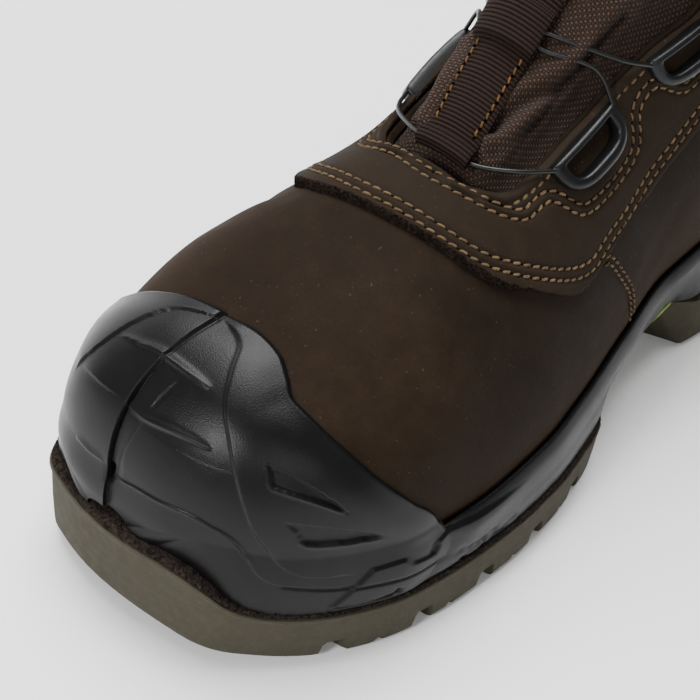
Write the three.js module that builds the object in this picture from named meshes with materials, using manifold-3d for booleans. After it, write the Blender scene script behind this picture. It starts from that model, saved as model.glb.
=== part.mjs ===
// Left safety boot: cup sole with a moulded toe cover, hollow leather upper, lace facing, padded
// tongue with webbing loops, four wire guides and a thin wire lace.
// Millimetres, +Z up, toe towards -Y, outer side of the foot towards +X.
import * as THREE from "three";
import * as BufferGeometryUtils from "three/addons/utils/BufferGeometryUtils.js";
import Module from "manifold-3d";

const wasm = await Module();
wasm.setup();

// Driving sizes of the boot
const SOLE_LENGTH = 304;
const BALL_WIDTH = 104;
const SOLE_OVERHANG = 4;
const INSTEP_HEIGHT = 98.5;
const HEEL_SEAT = 30;
const SHAFT_HEIGHT = 120;
const TREAD_HEIGHT = 17;
const LEATHER_LINE = 33;
const SOLE_WIDTH = BALL_WIDTH + 2 * SOLE_OVERHANG;

// Walls, layers and clearances
const UPPER_WALL = 2.2;
const CLEARANCE = 0.3;
const CAP_WALL = 3;
const CAP_STEP = 1.3;
const FACING_WALL = 2.2;
const CUP_LIP = 1.6;
const CUP_SHOULDER = 4;
const CUP_SHOULDER_DROP = 5;
const CUP_LEDGE = 1.2;
const BUMPER_WALL = 3;
const WAIST_INSET = 8;
const LASTING_MARGIN = 12;
const INSOLE_THICKNESS = 4;

// Tread
const LUG_PITCH = 23;
const GROOVE_WIDTH = 6;
const GROOVE_DEPTH = 7;
const GROOVE_SLANT = 0.2;
const CHANNEL_WIDTH = 9;
const CHANNEL_DEPTH = 5;
const FOREFOOT_FIRST = 0.075;
const HEEL_FIRST = 0.75;
const TREAD_CHAMFER = 1.5;
const FOREFOOT_GROOVES = 5;
const HEEL_GROOVES = 3;

// Tongue, webbing, guides and wire
const TONGUE_THICKNESS = 6;
const TONGUE_PUFF = 1;
const WEBBING_WIDTH = 15;
const WEBBING_SHIFT = 1.2;
const WEBBING_THICKNESS = 1.8;
const WIRE_DIAMETER = 1.3;
const GUIDE_LENGTH = 28;
const GUIDE_DEPTH = 12.5;
const GUIDE_BAR = 3;
const GUIDE_HEIGHT = 3.4;

// Sections of the upper's outer form, from the toe round the heel to above the collar. Each runs
// from a seat point to a top point. seatAlong and topAlong are shares of SOLE_LENGTH, seatLow of
// HEEL_SEAT, seatRise of SHAFT_HEIGHT, topHeight of INSTEP_HEIGHT, widths and ridge of BALL_WIDTH,
// waist is the share of the section's height where it is widest, bow its squareness above that.
const SECTION_COLUMNS = ["seatAlong", "seatLow", "seatRise", "topAlong", "topHeight", "outer",
  "inner", "outerFeather", "innerFeather", "waist", "bow", "ridge"];
const SECTIONS = [
  [-0.475, 1.00, 0, -0.475, 0.345, -0.038, -0.150, -0.048, -0.140, 0.50, 2.20, -0.096],
  [-0.470, 0.95, 0, -0.470, 0.480, 0.060, -0.236, 0.020, -0.185, 0.45, 2.40, -0.100],
  [-0.456, 0.90, 0, -0.456, 0.600, 0.177, -0.322, 0.125, -0.262, 0.38, 2.60, -0.094],
  [-0.426, 0.85, 0, -0.426, 0.703, 0.302, -0.394, 0.240, -0.334, 0.30, 2.60, -0.082],
  [-0.367, 0.78, 0, -0.367, 0.785, 0.418, -0.464, 0.352, -0.400, 0.25, 2.60, -0.058],
  [-0.296, 0.72, 0, -0.296, 0.874, 0.486, -0.495, 0.418, -0.428, 0.22, 2.48, -0.038],
  [-0.224, 0.68, 0, -0.224, 0.954, 0.500, -0.490, 0.433, -0.423, 0.20, 2.06, -0.019],
  [-0.148, 0.68, 0, -0.155, 1.000, 0.490, -0.466, 0.423, -0.399, 0.19, 1.95, 0],
  [-0.066, 0.72, 0, -0.109, 1.076, 0.452, -0.423, 0.385, -0.345, 0.185, 1.85, -0.024],
  [0.033, 0.80, 0, -0.056, 1.198, 0.394, -0.362, 0.317, -0.268, 0.20, 1.85, -0.053],
  [0.148, 0.92, 0, -0.010, 1.330, 0.346, -0.327, 0.260, -0.230, 0.275, 1.90, -0.067],
  [0.280, 0.98, 0, 0.026, 1.462, 0.346, -0.327, 0.250, -0.231, 0.34, 1.95, -0.058],
  [0.395, 1.00, 0, 0.049, 1.553, 0.346, -0.327, 0.231, -0.212, 0.41, 2.05, -0.048],
  [0.464, 1.00, 0.050, 0.066, 1.624, 0.346, -0.327, 0.048, -0.048, 0.46, 2.10, -0.038],
  [0.484, 1.00, 0.270, 0.079, 1.675, 0.341, -0.327, 0.010, -0.010, 0.48, 2.15, -0.029],
  [0.464, 1.00, 0.625, 0.089, 1.716, 0.337, -0.327, 0.010, -0.010, 0.50, 2.20, -0.019],
  [0.447, 1.00, 1.000, 0.102, 1.787, 0.346, -0.337, 0.010, -0.010, 0.50, 2.20, 0],
  [0.444, 1.00, 1.210, 0.112, 1.888, 0.356, -0.346, 0.010, -0.010, 0.50, 2.20, 0],
];
const LAST_SECTION = SECTIONS.length - 1;
const WIDEST = 0.72;

// Plan of the sole: along is the share of SOLE_LENGTH from the toe, widths shares of SOLE_WIDTH
const PLAN_COLUMNS = ["along", "outer", "inner"];
const PLAN = [
  [0, -0.085, -0.100],
  [0.0066, 0.070, -0.230],
  [0.0164, 0.180, -0.312],
  [0.049, 0.295, -0.384],
  [0.105, 0.411, -0.442],
  [0.171, 0.482, -0.478],
  [0.237, 0.509, -0.491],
  [0.303, 0.518, -0.482],
  [0.362, 0.509, -0.455],
  [0.434, 0.473, -0.402],
  [0.500, 0.429, -0.357],
  [0.582, 0.379, -0.317],
  [0.664, 0.357, -0.304],
  [0.780, 0.366, -0.321],
  [0.862, 0.348, -0.321],
  [0.928, 0.295, -0.268],
  [0.970, 0.196, -0.188],
  [1, 0.014, -0.014],
];

// Heights along the sole as shares of TREAD_HEIGHT: under side, seam between the two sole parts,
// rise of the rubber above that seam on each side, and inset of the tread as a share of WAIST_INSET
const EDGE_COLUMNS = ["along", "under", "seam", "outerBumper", "innerBumper", "inset"];
const EDGE = [
  [0, 0.36, 1.22, 0.72, 0.72, 0],
  [0.009, 0.26, 1.20, 0.72, 0.72, 0],
  [0.018, 0.19, 1.17, 0.66, 0.72, 0],
  [0.030, 0.14, 1.14, 0.10, 0.70, 0],
  [0.043, 0.11, 1.12, 0, 0.68, 0],
  [0.055, 0.08, 1.10, 0, 0.66, 0],
  [0.090, 0.03, 1.06, 0, 0.60, 0],
  [0.115, 0.01, 1.04, 0, 0.10, 0],
  [0.140, 0, 1.02, 0, 0, 0],
  [0.180, 0, 1.00, 0, 0, 0],
  [0.440, 0, 1.00, 0, 0, 0],
  [0.465, 0.08, 1.03, 0, 0, 0.10],
  [0.490, 0.76, 1.12, 0, 0, 0.80],
  [0.540, 0.88, 1.20, 0, 0, 1],
  [0.650, 0.88, 1.24, 0, 0, 1],
  [0.666, 0.84, 1.23, 0, 0, 0.94],
  [0.680, 0.40, 1.22, 0, 0, 0.50],
  [0.694, 0, 1.20, 0, 0, 0.10],
  [0.730, 0, 1.20, 0, 0, 0],
  [0.960, 0, 1.20, 0, 0, 0],
  [0.985, 0.10, 1.20, 0, 0, 0],
  [1, 0.35, 1.20, 0, 0, 0],
];

// Edge of the leather above the cup sole: height as a share of LEATHER_LINE
const LINE_COLUMNS = ["along", "height"];
const LINE = [
  [0, 1.12],
  [0.12, 1.04],
  [0.25, 1.00],
  [0.39, 1.03],
  [0.51, 1.085],
  [0.60, 1.16],
  [0.69, 1.21],
  [0.85, 1.26],
  [1, 1.33],
];

// Rear edge of the toe cover: section index over the girth share, from the inner to the outer side
const CAP_COLUMNS = ["girth", "section"];
const CAP_EDGE = [
  [-1, 5.3],
  [-0.70, 4.9],
  [-0.50, 4.05],
  [-0.31, 3.6],
  [-0.16, 3.8],
  [0, 4.03],
  [0.12, 4.0],
  [0.24, 3.8],
  [0.34, 3.85],
  [0.52, 4.2],
  [0.70, 4.9],
  [1, 5.3],
];
const CAP_FLANK = CAP_EDGE[0][1];

// Throat opening: girth shares of its outer and inner edge at each section index
const THROAT_COLUMNS = ["section", "outer", "inner"];
const THROAT = [
  [7.0, 0.075, -0.125],
  [7.3, 0.162, -0.190],
  [7.6, 0.200, -0.220],
  [8.3, 0.237, -0.250],
  [8.9, 0.262, -0.265],
  [9.75, 0.300, -0.290],
  [10.6, 0.325, -0.315],
  [11.7, 0.362, -0.350],
  [17, 0.370, -0.360],
];
const THROAT_START = THROAT[0][0];

// Lace facing, round the throat from the outer collar to the inner one: the throat edge and the
// outer edge, each as a section index and a girth share
const FACING_COLUMNS = ["throatSection", "throatGirth", "edgeSection", "edgeGirth"];
const FACING = [
  [16.9, 0.370, 16.9, 0.500],
  [14.0, 0.367, 13.6, 0.510],
  [12.6, 0.365, 12.0, 0.525],
  [11.7, 0.362, 10.8, 0.525],
  [10.6, 0.325, 9.85, 0.525],
  [9.75, 0.300, 9.25, 0.500],
  [8.9, 0.262, 8.5, 0.490],
  [8.3, 0.237, 8.0, 0.475],
  [7.6, 0.200, 7.15, 0.387],
  [7.3, 0.162, 6.5, 0.290],
  [7.0, 0.075, 6.15, 0.137],
  [7.0, -0.025, 6.0, 0.010],
  [7.0, -0.125, 5.95, -0.113],
  [7.3, -0.190, 6.05, -0.235],
  [7.6, -0.220, 6.6, -0.350],
  [8.3, -0.250, 7.6, -0.450],
  [8.9, -0.265, 8.4, -0.490],
  [9.75, -0.290, 9.25, -0.500],
  [10.6, -0.315, 9.85, -0.520],
  [11.7, -0.350, 10.8, -0.520],
  [12.6, -0.352, 12.0, -0.520],
  [14.0, -0.355, 13.6, -0.500],
  [16.9, -0.360, 16.9, -0.490],
];

// Webbing down the tongue: section index, and rise over a wire loop as a share of the wire
const WEBBING_COLUMNS = ["section", "rise"];
const WEBBING = [
  [7.15, 0],
  [7.22, 1],
  [7.50, 1],
  [7.62, 0],
  [8.40, 0],
  [9.05, 0],
  [9.20, 1],
  [9.75, 1],
  [9.95, 0],
  [11.0, 0],
  [12.0, 0],
  [13.5, 0],
  [15.0, 0],
];

// Guides: where the straight bar sits, as a section index and a girth share on the outer side
const GUIDES = [
  ["lower", 9.0, 0.278],
  ["upper", 11.15, 0.352],
];

// Collar line from behind the heel to in front of the shin: along as a share of SOLE_LENGTH,
// height above HEEL_SEAT as a share of SHAFT_HEIGHT
const COLLAR = [
  [0.60, 1.03],
  [0.44, 1.01],
  [0.33, 0.97],
  [0.22, 1.02],
  [0.12, 1.12],
  [-0.05, 1.22],
];

// Surface finishes
const LEATHER = { color: 0x45372d, roughness: 0.85, metalness: 0 };
const BLACK_SOLE = { color: 0x2a2b2d, roughness: 0.5, metalness: 0 };
const OLIVE_RUBBER = { color: 0x56534a, roughness: 0.85, metalness: 0 };
const TEXTILE = { color: 0x574842, roughness: 0.95, metalness: 0 };
const WEBBING_CLOTH = { color: 0x3a2d28, roughness: 0.9, metalness: 0 };
const BLACK_PLASTIC = { color: 0x1d1d1f, roughness: 0.35, metalness: 0 };
const WIRE = { color: 0x151515, roughness: 0.4, metalness: 0.3 };
const LINING = { color: 0x24211f, roughness: 0.95, metalness: 0 };

// Tables and curves

function columnsOf(names, rows) {
  const table = {};
  names.forEach((name, column) => {
    table[name] = rows.map((row) => row[column]);
  });
  return table;
}

// Smooth curve through the values at the knots, level at every peak, so that it never overshoots
function smooth(knots, values, at) {
  const last = knots.length - 1;
  const x = Math.min(Math.max(at, knots[0]), knots[last]);
  const rise = (i) => (values[i + 1] - values[i]) / (knots[i + 1] - knots[i]);
  const slope = (i) => {
    if (i === 0) return rise(0);
    if (i === last) return rise(last - 1);
    const before = rise(i - 1);
    const after = rise(i);
    if (before * after <= 0) return 0;
    const stepBefore = knots[i] - knots[i - 1];
    const stepAfter = knots[i + 1] - knots[i];
    const weightBefore = 2 * stepAfter + stepBefore;
    const weightAfter = stepAfter + 2 * stepBefore;
    return (weightBefore + weightAfter) / (weightBefore / before + weightAfter / after);
  };
  let i = 0;
  while (i < last - 1 && x >= knots[i + 1]) i += 1;
  const step = knots[i + 1] - knots[i];
  const t = (x - knots[i]) / step;
  const a = (1 + 2 * t) * (1 - t) ** 2;
  const b = t * (1 - t) ** 2;
  const c = t * t * (3 - 2 * t);
  const d = t * t * (t - 1);
  return a * values[i] + b * step * slope(i) + c * values[i + 1] + d * step * slope(i + 1);
}

function mix(a, b, t) {
  return a + (b - a) * t;
}

function range(count) {
  return Array.from({ length: count + 1 }, (_, i) => i / count);
}

// The value where a falling or rising function crosses zero
function crossing(from, to, height) {
  let low = from;
  let high = to;
  const rising = height(high) > height(low);
  for (let i = 0; i < 40; i += 1) {
    const middle = (low + high) / 2;
    if ((height(middle) > 0) === rising) high = middle;
    else low = middle;
  }
  return (low + high) / 2;
}

// Bodies from points and triangles

function signedVolume(points, triangles) {
  const cross = new THREE.Vector3();
  return triangles.reduce((sum, [a, b, c]) => {
    cross.crossVectors(points[b], points[c]);
    return sum + points[a].dot(cross) / 6;
  }, 0);
}

function body(points, triangles) {
  const outward = signedVolume(points, triangles) > 0;
  const geometry = new THREE.BufferGeometry();
  geometry.setFromPoints(points);
  geometry.setIndex(triangles.flatMap(([a, b, c]) => (outward ? [a, b, c] : [a, c, b])));
  return geometry;
}

function solid(geometry) {
  const bare = geometry.clone();
  bare.deleteAttribute("normal");
  bare.deleteAttribute("uv");
  const merged = BufferGeometryUtils.mergeVertices(bare, 1e-4);
  return new wasm.Manifold(new wasm.Mesh({
    numProp: 3,
    vertProperties: new Float32Array(merged.attributes.position.array),
    triVerts: new Uint32Array(merged.index.array),
  }));
}

function largest(cut) {
  return cut.decompose().sort((a, b) => b.volume() - a.volume())[0];
}

function mesh(name, shape, finish) {
  const cut = shape.getMesh();
  const geometry = new THREE.BufferGeometry();
  geometry.setAttribute("position", new THREE.BufferAttribute(new Float32Array(cut.vertProperties), 3));
  geometry.setIndex(new THREE.BufferAttribute(new Uint32Array(cut.triVerts), 1));
  geometry.computeVertexNormals();
  const made = new THREE.Mesh(geometry, new THREE.MeshStandardMaterial(finish));
  made.name = name;
  return made;
}

// Rings of equally many points, skinned and closed at both ends by a fan
function loft(rings) {
  const count = rings[0].length;
  const points = rings.flat();
  const triangles = [];
  for (let r = 0; r < rings.length - 1; r += 1) {
    for (let i = 0; i < count; i += 1) {
      const a = r * count + i;
      const b = r * count + (i + 1) % count;
      triangles.push([a, b, b + count], [a, b + count, a + count]);
    }
  }
  [0, rings.length - 1].forEach((r) => {
    const middle = new THREE.Vector3();
    rings[r].forEach((point) => middle.addScaledVector(point, 1 / count));
    const centre = points.push(middle) - 1;
    for (let i = 0; i < count; i += 1) {
      const a = r * count + i;
      const b = r * count + (i + 1) % count;
      triangles.push(r === 0 ? [centre, b, a] : [centre, a, b]);
    }
  });
  return body(points, triangles);
}

// A plate bent over a grid: top and under side points for each pair of grid shares
function plate(shares, cross, top, under) {
  const points = [];
  [top, under].forEach((side) => {
    shares.forEach((s) => cross.forEach((t) => points.push(side(s, t))));
  });
  const rows = shares.length;
  const columns = cross.length;
  const at = (side, i, j) => side * rows * columns + i * columns + j;
  const triangles = [];
  const quad = (a, b, c, d) => triangles.push([a, b, c], [a, c, d]);
  for (let i = 0; i < rows - 1; i += 1) {
    for (let j = 0; j < columns - 1; j += 1) {
      quad(at(0, i, j), at(0, i, j + 1), at(0, i + 1, j + 1), at(0, i + 1, j));
      quad(at(1, i, j), at(1, i + 1, j), at(1, i + 1, j + 1), at(1, i, j + 1));
    }
    quad(at(0, i, 0), at(0, i + 1, 0), at(1, i + 1, 0), at(1, i, 0));
    quad(at(0, i + 1, columns - 1), at(0, i, columns - 1), at(1, i, columns - 1), at(1, i + 1, columns - 1));
  }
  for (let j = 0; j < columns - 1; j += 1) {
    quad(at(0, 0, j + 1), at(0, 0, j), at(1, 0, j), at(1, 0, j + 1));
    quad(at(0, rows - 1, j), at(0, rows - 1, j + 1), at(1, rows - 1, j + 1), at(1, rows - 1, j));
  }
  return body(points, triangles);
}

// The upper's outer form. A section index runs from 0 at the toe to LAST_SECTION above the collar,
// a girth share from -1 at the inner feather edge over 0 at the ridge to 1 at the outer one.
const sections = columnsOf(SECTION_COLUMNS, SECTIONS);
const sectionKnots = SECTIONS.map((_, i) => i);

function formPoint(section, girth) {
  const of = (name) => smooth(sectionKnots, sections[name], section);
  const seat = new THREE.Vector3(0, of("seatAlong") * SOLE_LENGTH,
    of("seatLow") * HEEL_SEAT + of("seatRise") * SHAFT_HEIGHT);
  const top = new THREE.Vector3(0, of("topAlong") * SOLE_LENGTH, of("topHeight") * INSTEP_HEIGHT);
  const side = girth >= 0 ? "outer" : "inner";
  const widest = of(side) * BALL_WIDTH;
  const feather = of(`${side}Feather`) * BALL_WIDTH;
  const ridge = of("ridge") * BALL_WIDTH;
  const waist = of("waist");
  const up = 1 - Math.abs(girth);
  let x;
  let share;
  if (up < 1 - WIDEST) {
    const turn = (up / (1 - WIDEST)) * Math.PI / 2;
    x = feather + (widest - feather) * Math.sin(turn);
    share = waist * (1 - Math.cos(turn));
  } else {
    const turn = Math.min((up - 1 + WIDEST) / WIDEST, 1) * Math.PI / 2;
    const power = 2 / of("bow");
    x = ridge + (widest - ridge) * Math.max(Math.cos(turn), 0) ** power;
    share = waist + (1 - waist) * Math.sin(turn) ** power;
  }
  const point = seat.lerp(top, share);
  point.x = x;
  return point;
}

function formNormal(section, girth) {
  const step = 1e-3;
  const before = Math.max(section - step, 0);
  const after = Math.min(section + step, LAST_SECTION);
  const along = formPoint(after, girth).sub(formPoint(before, girth));
  const over = formPoint(section, Math.min(girth + step, 1)).sub(formPoint(section, Math.max(girth - step, -1)));
  return along.cross(over).normalize().negate();
}

// A point of the form, moved out by an offset
function onForm(section, girth, offset) {
  return formPoint(section, girth).addScaledVector(formNormal(section, girth), offset);
}

// Girth share where the form lies a given width from its ridge
function girthAt(section, width) {
  const ridge = formPoint(section, 0).x;
  const side = Math.sign(width);
  const share = crossing(0, WIDEST, (g) => side * (formPoint(section, side * g).x - ridge) - Math.abs(width));
  return side * share;
}

const HALF_GIRTH = [0.03, 0.1, 0.21, 0.34, 0.47, 0.6, WIDEST, 0.79, 0.86, 0.93, 1];
const GIRTHS = [...HALF_GIRTH.map((g) => -g).reverse(), 0, ...HALF_GIRTH];
const STATIONS = [0, 0.4, 0.8, 1.2, 1.6, ...range(14).map((t) => 2 + 10 * t),
  12.3, 12.65, 13, 13.35, 13.75, 14.25, 15, 16, LAST_SECTION];
// A shrunk form starts a little behind the toe's tip, which is narrower than twice its wall
const SHRUNK_START = 0.6;

function formBody(stations, offset) {
  return solid(loft(stations.map((section) => GIRTHS.map((girth) => onForm(section, girth, offset)))));
}

function grownForm(growth) {
  return formBody(STATIONS, growth);
}

function shrunkForm(wall) {
  return formBody([SHRUNK_START, ...STATIONS.filter((section) => section > SHRUNK_START)], -wall);
}

// The sole

const plan = columnsOf(PLAN_COLUMNS, PLAN);
const edge = columnsOf(EDGE_COLUMNS, EDGE);
const line = columnsOf(LINE_COLUMNS, LINE);
const turnOf = (along) => Math.acos(1 - 2 * Math.min(Math.max(along, 0), 1));
const planTurns = plan.along.map(turnOf);

function planX(along, side) {
  return smooth(planTurns, plan[side], turnOf(along)) * SOLE_WIDTH;
}

function edgeAt(along, column) {
  return smooth(edge.along, edge[column], along);
}

function lineHeight(y) {
  return smooth(line.along, line.height, y / SOLE_LENGTH + 0.5) * LEATHER_LINE;
}

// Levels of outer and inner points along the sole, skinned into one closed slab
function slab(levels) {
  const count = levels[0].length;
  const rings = levels.map((level) => [
    ...level.map((station) => station.outer),
    ...level.map((station) => station.inner).reverse(),
  ]);
  const points = rings.flat();
  const around = 2 * count;
  const triangles = [];
  for (let r = 0; r < rings.length - 1; r += 1) {
    for (let i = 0; i < around; i += 1) {
      const a = r * around + i;
      const b = r * around + (i + 1) % around;
      triangles.push([a, b, b + around], [a, b + around, a + around]);
    }
  }
  [0, rings.length - 1].forEach((r) => {
    for (let i = 0; i < count - 1; i += 1) {
      const outer = r * around + i;
      const inner = r * around + around - 1 - i;
      const faces = [[outer, inner, inner - 1], [outer, inner - 1, outer + 1]];
      faces.forEach(([a, b, c]) => triangles.push(r === 0 ? [a, b, c] : [a, c, b]));
    }
  });
  return solid(body(points, triangles));
}

// A point of the sole's plan at one height, drawn in by an inset
function planPoint(along, side, height, inset) {
  const middle = (planX(along, "outer") + planX(along, "inner")) / 2;
  const x = planX(along, side);
  const room = Math.abs(x - middle);
  const drawn = middle + Math.sign(x - middle) * Math.max(room - inset, room * 0.3);
  const shorten = 1 - 2 * inset / SOLE_LENGTH;
  return new THREE.Vector3(drawn, (along - 0.5) * SOLE_LENGTH * shorten, height);
}

function planLevel(alongs, height, inset) {
  const at = (along, side) => planPoint(along, side, height(along, side), inset(along, side));
  return alongs.map((along) => ({ outer: at(along, "outer"), inner: at(along, "inner") }));
}

// Share of the sole's length under a point of the form, which is a little shorter than the sole
function alongUnder(y) {
  const toe = sections.seatAlong[0];
  const heel = Math.max(...sections.seatAlong);
  return THREE.MathUtils.clamp((y / SOLE_LENGTH - toe) / (heel - toe), 0, 1);
}

function seamHeight(along) {
  return edgeAt(along, "seam") * TREAD_HEIGHT;
}

// How far the cup's wall stands in from the sole's plan: a ledge, and the rubber bumper's wall
function cupInset(along, side) {
  return CUP_LEDGE + BUMPER_WALL * bumperShare(along, side);
}

function bumperShare(along, side) {
  return edgeAt(along, `${side}Bumper`) / Math.max(...edge[`${side}Bumper`]);
}

// Closer together at toe and heel, and with a station at each row of the edge table
function soleStations() {
  const list = [0.001, 0.004, 0.997, 1];
  edge.along.slice(0, -1).forEach((along, i) => {
    const next = edge.along[i + 1];
    const parts = Math.max(1, Math.ceil((turnOf(next) - turnOf(along)) / 0.16));
    range(parts).slice(0, -1).forEach((t) => list.push(mix(along, next, t)));
  });
  return list.sort((a, b) => a - b);
}

// Sections that the cup reaches, up to where the seat rises past the leather line at the heel
function cupStations() {
  const last = crossing(12, 14, (section) => formPoint(section, 1).z - lineHeight(formPoint(section, 1).y));
  return range(38).map((t) => t * last);
}

function leatherLine(section, side) {
  const sign = side === "outer" ? 1 : -1;
  const above = (girth) => {
    const point = formPoint(section, sign * girth);
    return point.z - lineHeight(point.y);
  };
  return above(1) > 0 ? sign : sign * crossing(0.4, 1, above);
}

function cupLevel(stations, offset, drop) {
  const at = (section, side) => {
    const point = onForm(section, leatherLine(section, side), offset(section));
    point.z = lineHeight(point.y) - drop;
    return point;
  };
  return stations.map((section) => ({ outer: at(section, "outer"), inner: at(section, "inner") }));
}

// The cup's wall rises from the sole's seam to a shoulder and a thin lip round the leather. Under
// the toe cover both lie inside the cover's own wall.
function cupBlank(growth) {
  const stations = cupStations();
  const emerging = (width) => (section) => (
    mix(CAP_WALL / 2, width, THREE.MathUtils.smoothstep(section, CAP_FLANK - 0.8, CAP_FLANK)) + growth);
  const lip = cupLevel(stations, emerging(CUP_LIP), 0);
  const from = lip[0].outer.y;
  const to = lip[lip.length - 1].outer.y;
  const alongs = lip.map(({ outer }) => (outer.y - from) / (to - from));
  const inset = (share) => (along, side) => (
    cupInset(along, side) - growth + share * WAIST_INSET * edgeAt(along, "inset"));
  const bulge = (along) => seamHeight(along) + 0.3 * TREAD_HEIGHT;
  return slab([
    planLevel(alongs, (along) => seamHeight(along) - growth, inset(0.5)),
    planLevel(alongs, bulge, (along, side) => inset(0.2)(along, side) + CLEARANCE),
    cupLevel(stations, emerging(CUP_SHOULDER), CUP_SHOULDER_DROP),
    lip,
  ]);
}

function capReach(girth) {
  const cap = columnsOf(CAP_COLUMNS, CAP_EDGE);
  return smooth(cap.girth, cap.section, girth);
}

// The toe cover's outer skin, its inner half standing proud along the ridge. Below the form's
// widest place it runs down and out to the sole's seam.
function capBlank(growth) {
  const girths = [...GIRTHS.filter((g) => g !== 0), -0.004, 0.004].sort((a, b) => a - b);
  const rings = range(14).map((t) => girths.map((girth) => {
    const section = t ** 1.2 * capReach(girth);
    const side = Math.sign(girth);
    const wall = CAP_WALL + growth + (side < 0 ? CAP_STEP : 0);
    if (Math.abs(girth) <= WIDEST) return onForm(section, girth, wall);
    const shoulder = onForm(section, side * WIDEST, wall);
    const along = alongUnder(shoulder.y);
    const edgeSide = side > 0 ? "outer" : "inner";
    const foot = planPoint(along, edgeSide, seamHeight(along) - growth,
      cupInset(along, edgeSide) - CUP_LEDGE / 2 - growth);
    return shoulder.lerp(foot, (Math.abs(girth) - WIDEST) / (1 - WIDEST));
  }));
  return solid(loft(rings));
}

function block(width, depth, height, x, y, z, turn = 0) {
  const geometry = new THREE.BoxGeometry(width, depth, height);
  geometry.rotateZ(turn);
  geometry.translate(x, y, z);
  return solid(geometry);
}

// Grooves between the lugs: a pair at each pitch, open to the sides, and a channel between them
function treadGrooves() {
  const forefoot = (FOREFOOT_FIRST - 0.5) * SOLE_LENGTH;
  const heel = (HEEL_FIRST - 0.5) * SOLE_LENGTH;
  const across = SOLE_WIDTH * 0.62;
  const rows = (from, count) => range(count - 1).map((t) => from + t * (count - 1) * LUG_PITCH);
  const cuts = [...rows(forefoot, FOREFOOT_GROOVES), ...rows(heel, HEEL_GROOVES)].flatMap((y) => (
    [-1, 1].map((side) => block(across, GROOVE_WIDTH, 2 * GROOVE_DEPTH,
      side * across / 2, y + across * GROOVE_SLANT / 2, 0, side * GROOVE_SLANT))
  ));
  const forefootLength = (FOREFOOT_GROOVES - 1) * LUG_PITCH;
  const heelLength = (HEEL_GROOVES - 1) * LUG_PITCH;
  cuts.push(block(CHANNEL_WIDTH, forefootLength, 2 * CHANNEL_DEPTH, 0, forefoot + forefootLength / 2, 0));
  cuts.push(block(CHANNEL_WIDTH, heelLength, 2 * CHANNEL_DEPTH, 0, heel + heelLength / 2, 0));
  return cuts.reduce((all, cut) => all.add(cut));
}

function outsole() {
  const stations = soleStations();
  const under = (along) => edgeAt(along, "under") * TREAD_HEIGHT;
  const rim = (along, side) => (
    seamHeight(along) + edgeAt(along, `${side}Bumper`) * TREAD_HEIGHT - 1.5 * CLEARANCE);
  const inset = (along) => edgeAt(along, "inset") * WAIST_INSET;
  const rise = (share) => (along, side) => mix(under(along), rim(along, side), share);
  const blank = slab([
    planLevel(stations, under, (along) => inset(along) + TREAD_CHAMFER),
    planLevel(stations, rise(0.2), inset),
    planLevel(stations, rise(0.85), inset),
    planLevel(stations, rim, (along) => inset(along) + 0.4 * TREAD_CHAMFER),
  ]);
  return largest(blank.subtract(cupBlank(CLEARANCE)).subtract(capBlank(CLEARANCE)).subtract(treadGrooves()));
}

function cupSole() {
  return cupBlank(0).add(capBlank(0)).subtract(grownForm(CLEARANCE));
}

// The upper

// A side view outline, pushed right across the boot
function sideCut(points, width) {
  const shape = new THREE.Shape(points.map(([y, z]) => new THREE.Vector2(y, z)));
  const geometry = new THREE.ExtrudeGeometry(shape, { depth: width, bevelEnabled: false });
  geometry.translate(0, 0, -width / 2);
  geometry.applyMatrix4(new THREE.Matrix4().makeBasis(
    new THREE.Vector3(0, 1, 0), new THREE.Vector3(0, 0, 1), new THREE.Vector3(1, 0, 0)));
  return solid(geometry);
}

function aboveCollar() {
  const heights = COLLAR.map(([along, share]) => new THREE.Vector2(
    along * SOLE_LENGTH, HEEL_SEAT + share * SHAFT_HEIGHT));
  const curve = new THREE.SplineCurve(heights).getPoints(24).map((p) => [p.x, p.y]);
  const top = HEEL_SEAT + 2 * SHAFT_HEIGHT;
  const ends = [[curve[curve.length - 1][0], top], [curve[0][0], top]];
  return sideCut([...curve, ...ends], 2 * BALL_WIDTH);
}

const throat = columnsOf(THROAT_COLUMNS, THROAT);

function throatGirth(section, side) {
  return smooth(throat.section, throat[side], section);
}

function throatCut() {
  const cut = UPPER_WALL + 2;
  const shares = range(30).map((t) => mix(THROAT_START, LAST_SECTION, t ** 1.5));
  const cross = range(8);
  const girth = (section, t) => mix(throatGirth(section, "inner"), throatGirth(section, "outer"), t);
  return solid(plate(shares, cross, (s, t) => onForm(s, girth(s, t), 3), (s, t) => onForm(s, girth(s, t), -cut)));
}

// The opening inside the turned-in lasting margin
function seatCut() {
  const rows = range(24).map((t) => mix(1.6, 12.6, t));
  const at = (section, side) => {
    const point = formPoint(section, side);
    return new THREE.Vector2(point.x - side * LASTING_MARGIN, point.y);
  };
  const wide = rows.filter((section) => at(section, 1).x - at(section, -1).x > LASTING_MARGIN / 2);
  const outline = [...wide.map((s) => at(s, 1)), ...wide.map((s) => at(s, -1)).reverse()];
  const geometry = new THREE.ExtrudeGeometry(new THREE.Shape(outline), { depth: 1.25 * HEEL_SEAT, bevelEnabled: false });
  return solid(geometry);
}

function upper() {
  return largest(grownForm(0).subtract(shrunkForm(UPPER_WALL))
    .subtract(throatCut()).subtract(seatCut()).subtract(aboveCollar()));
}

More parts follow.
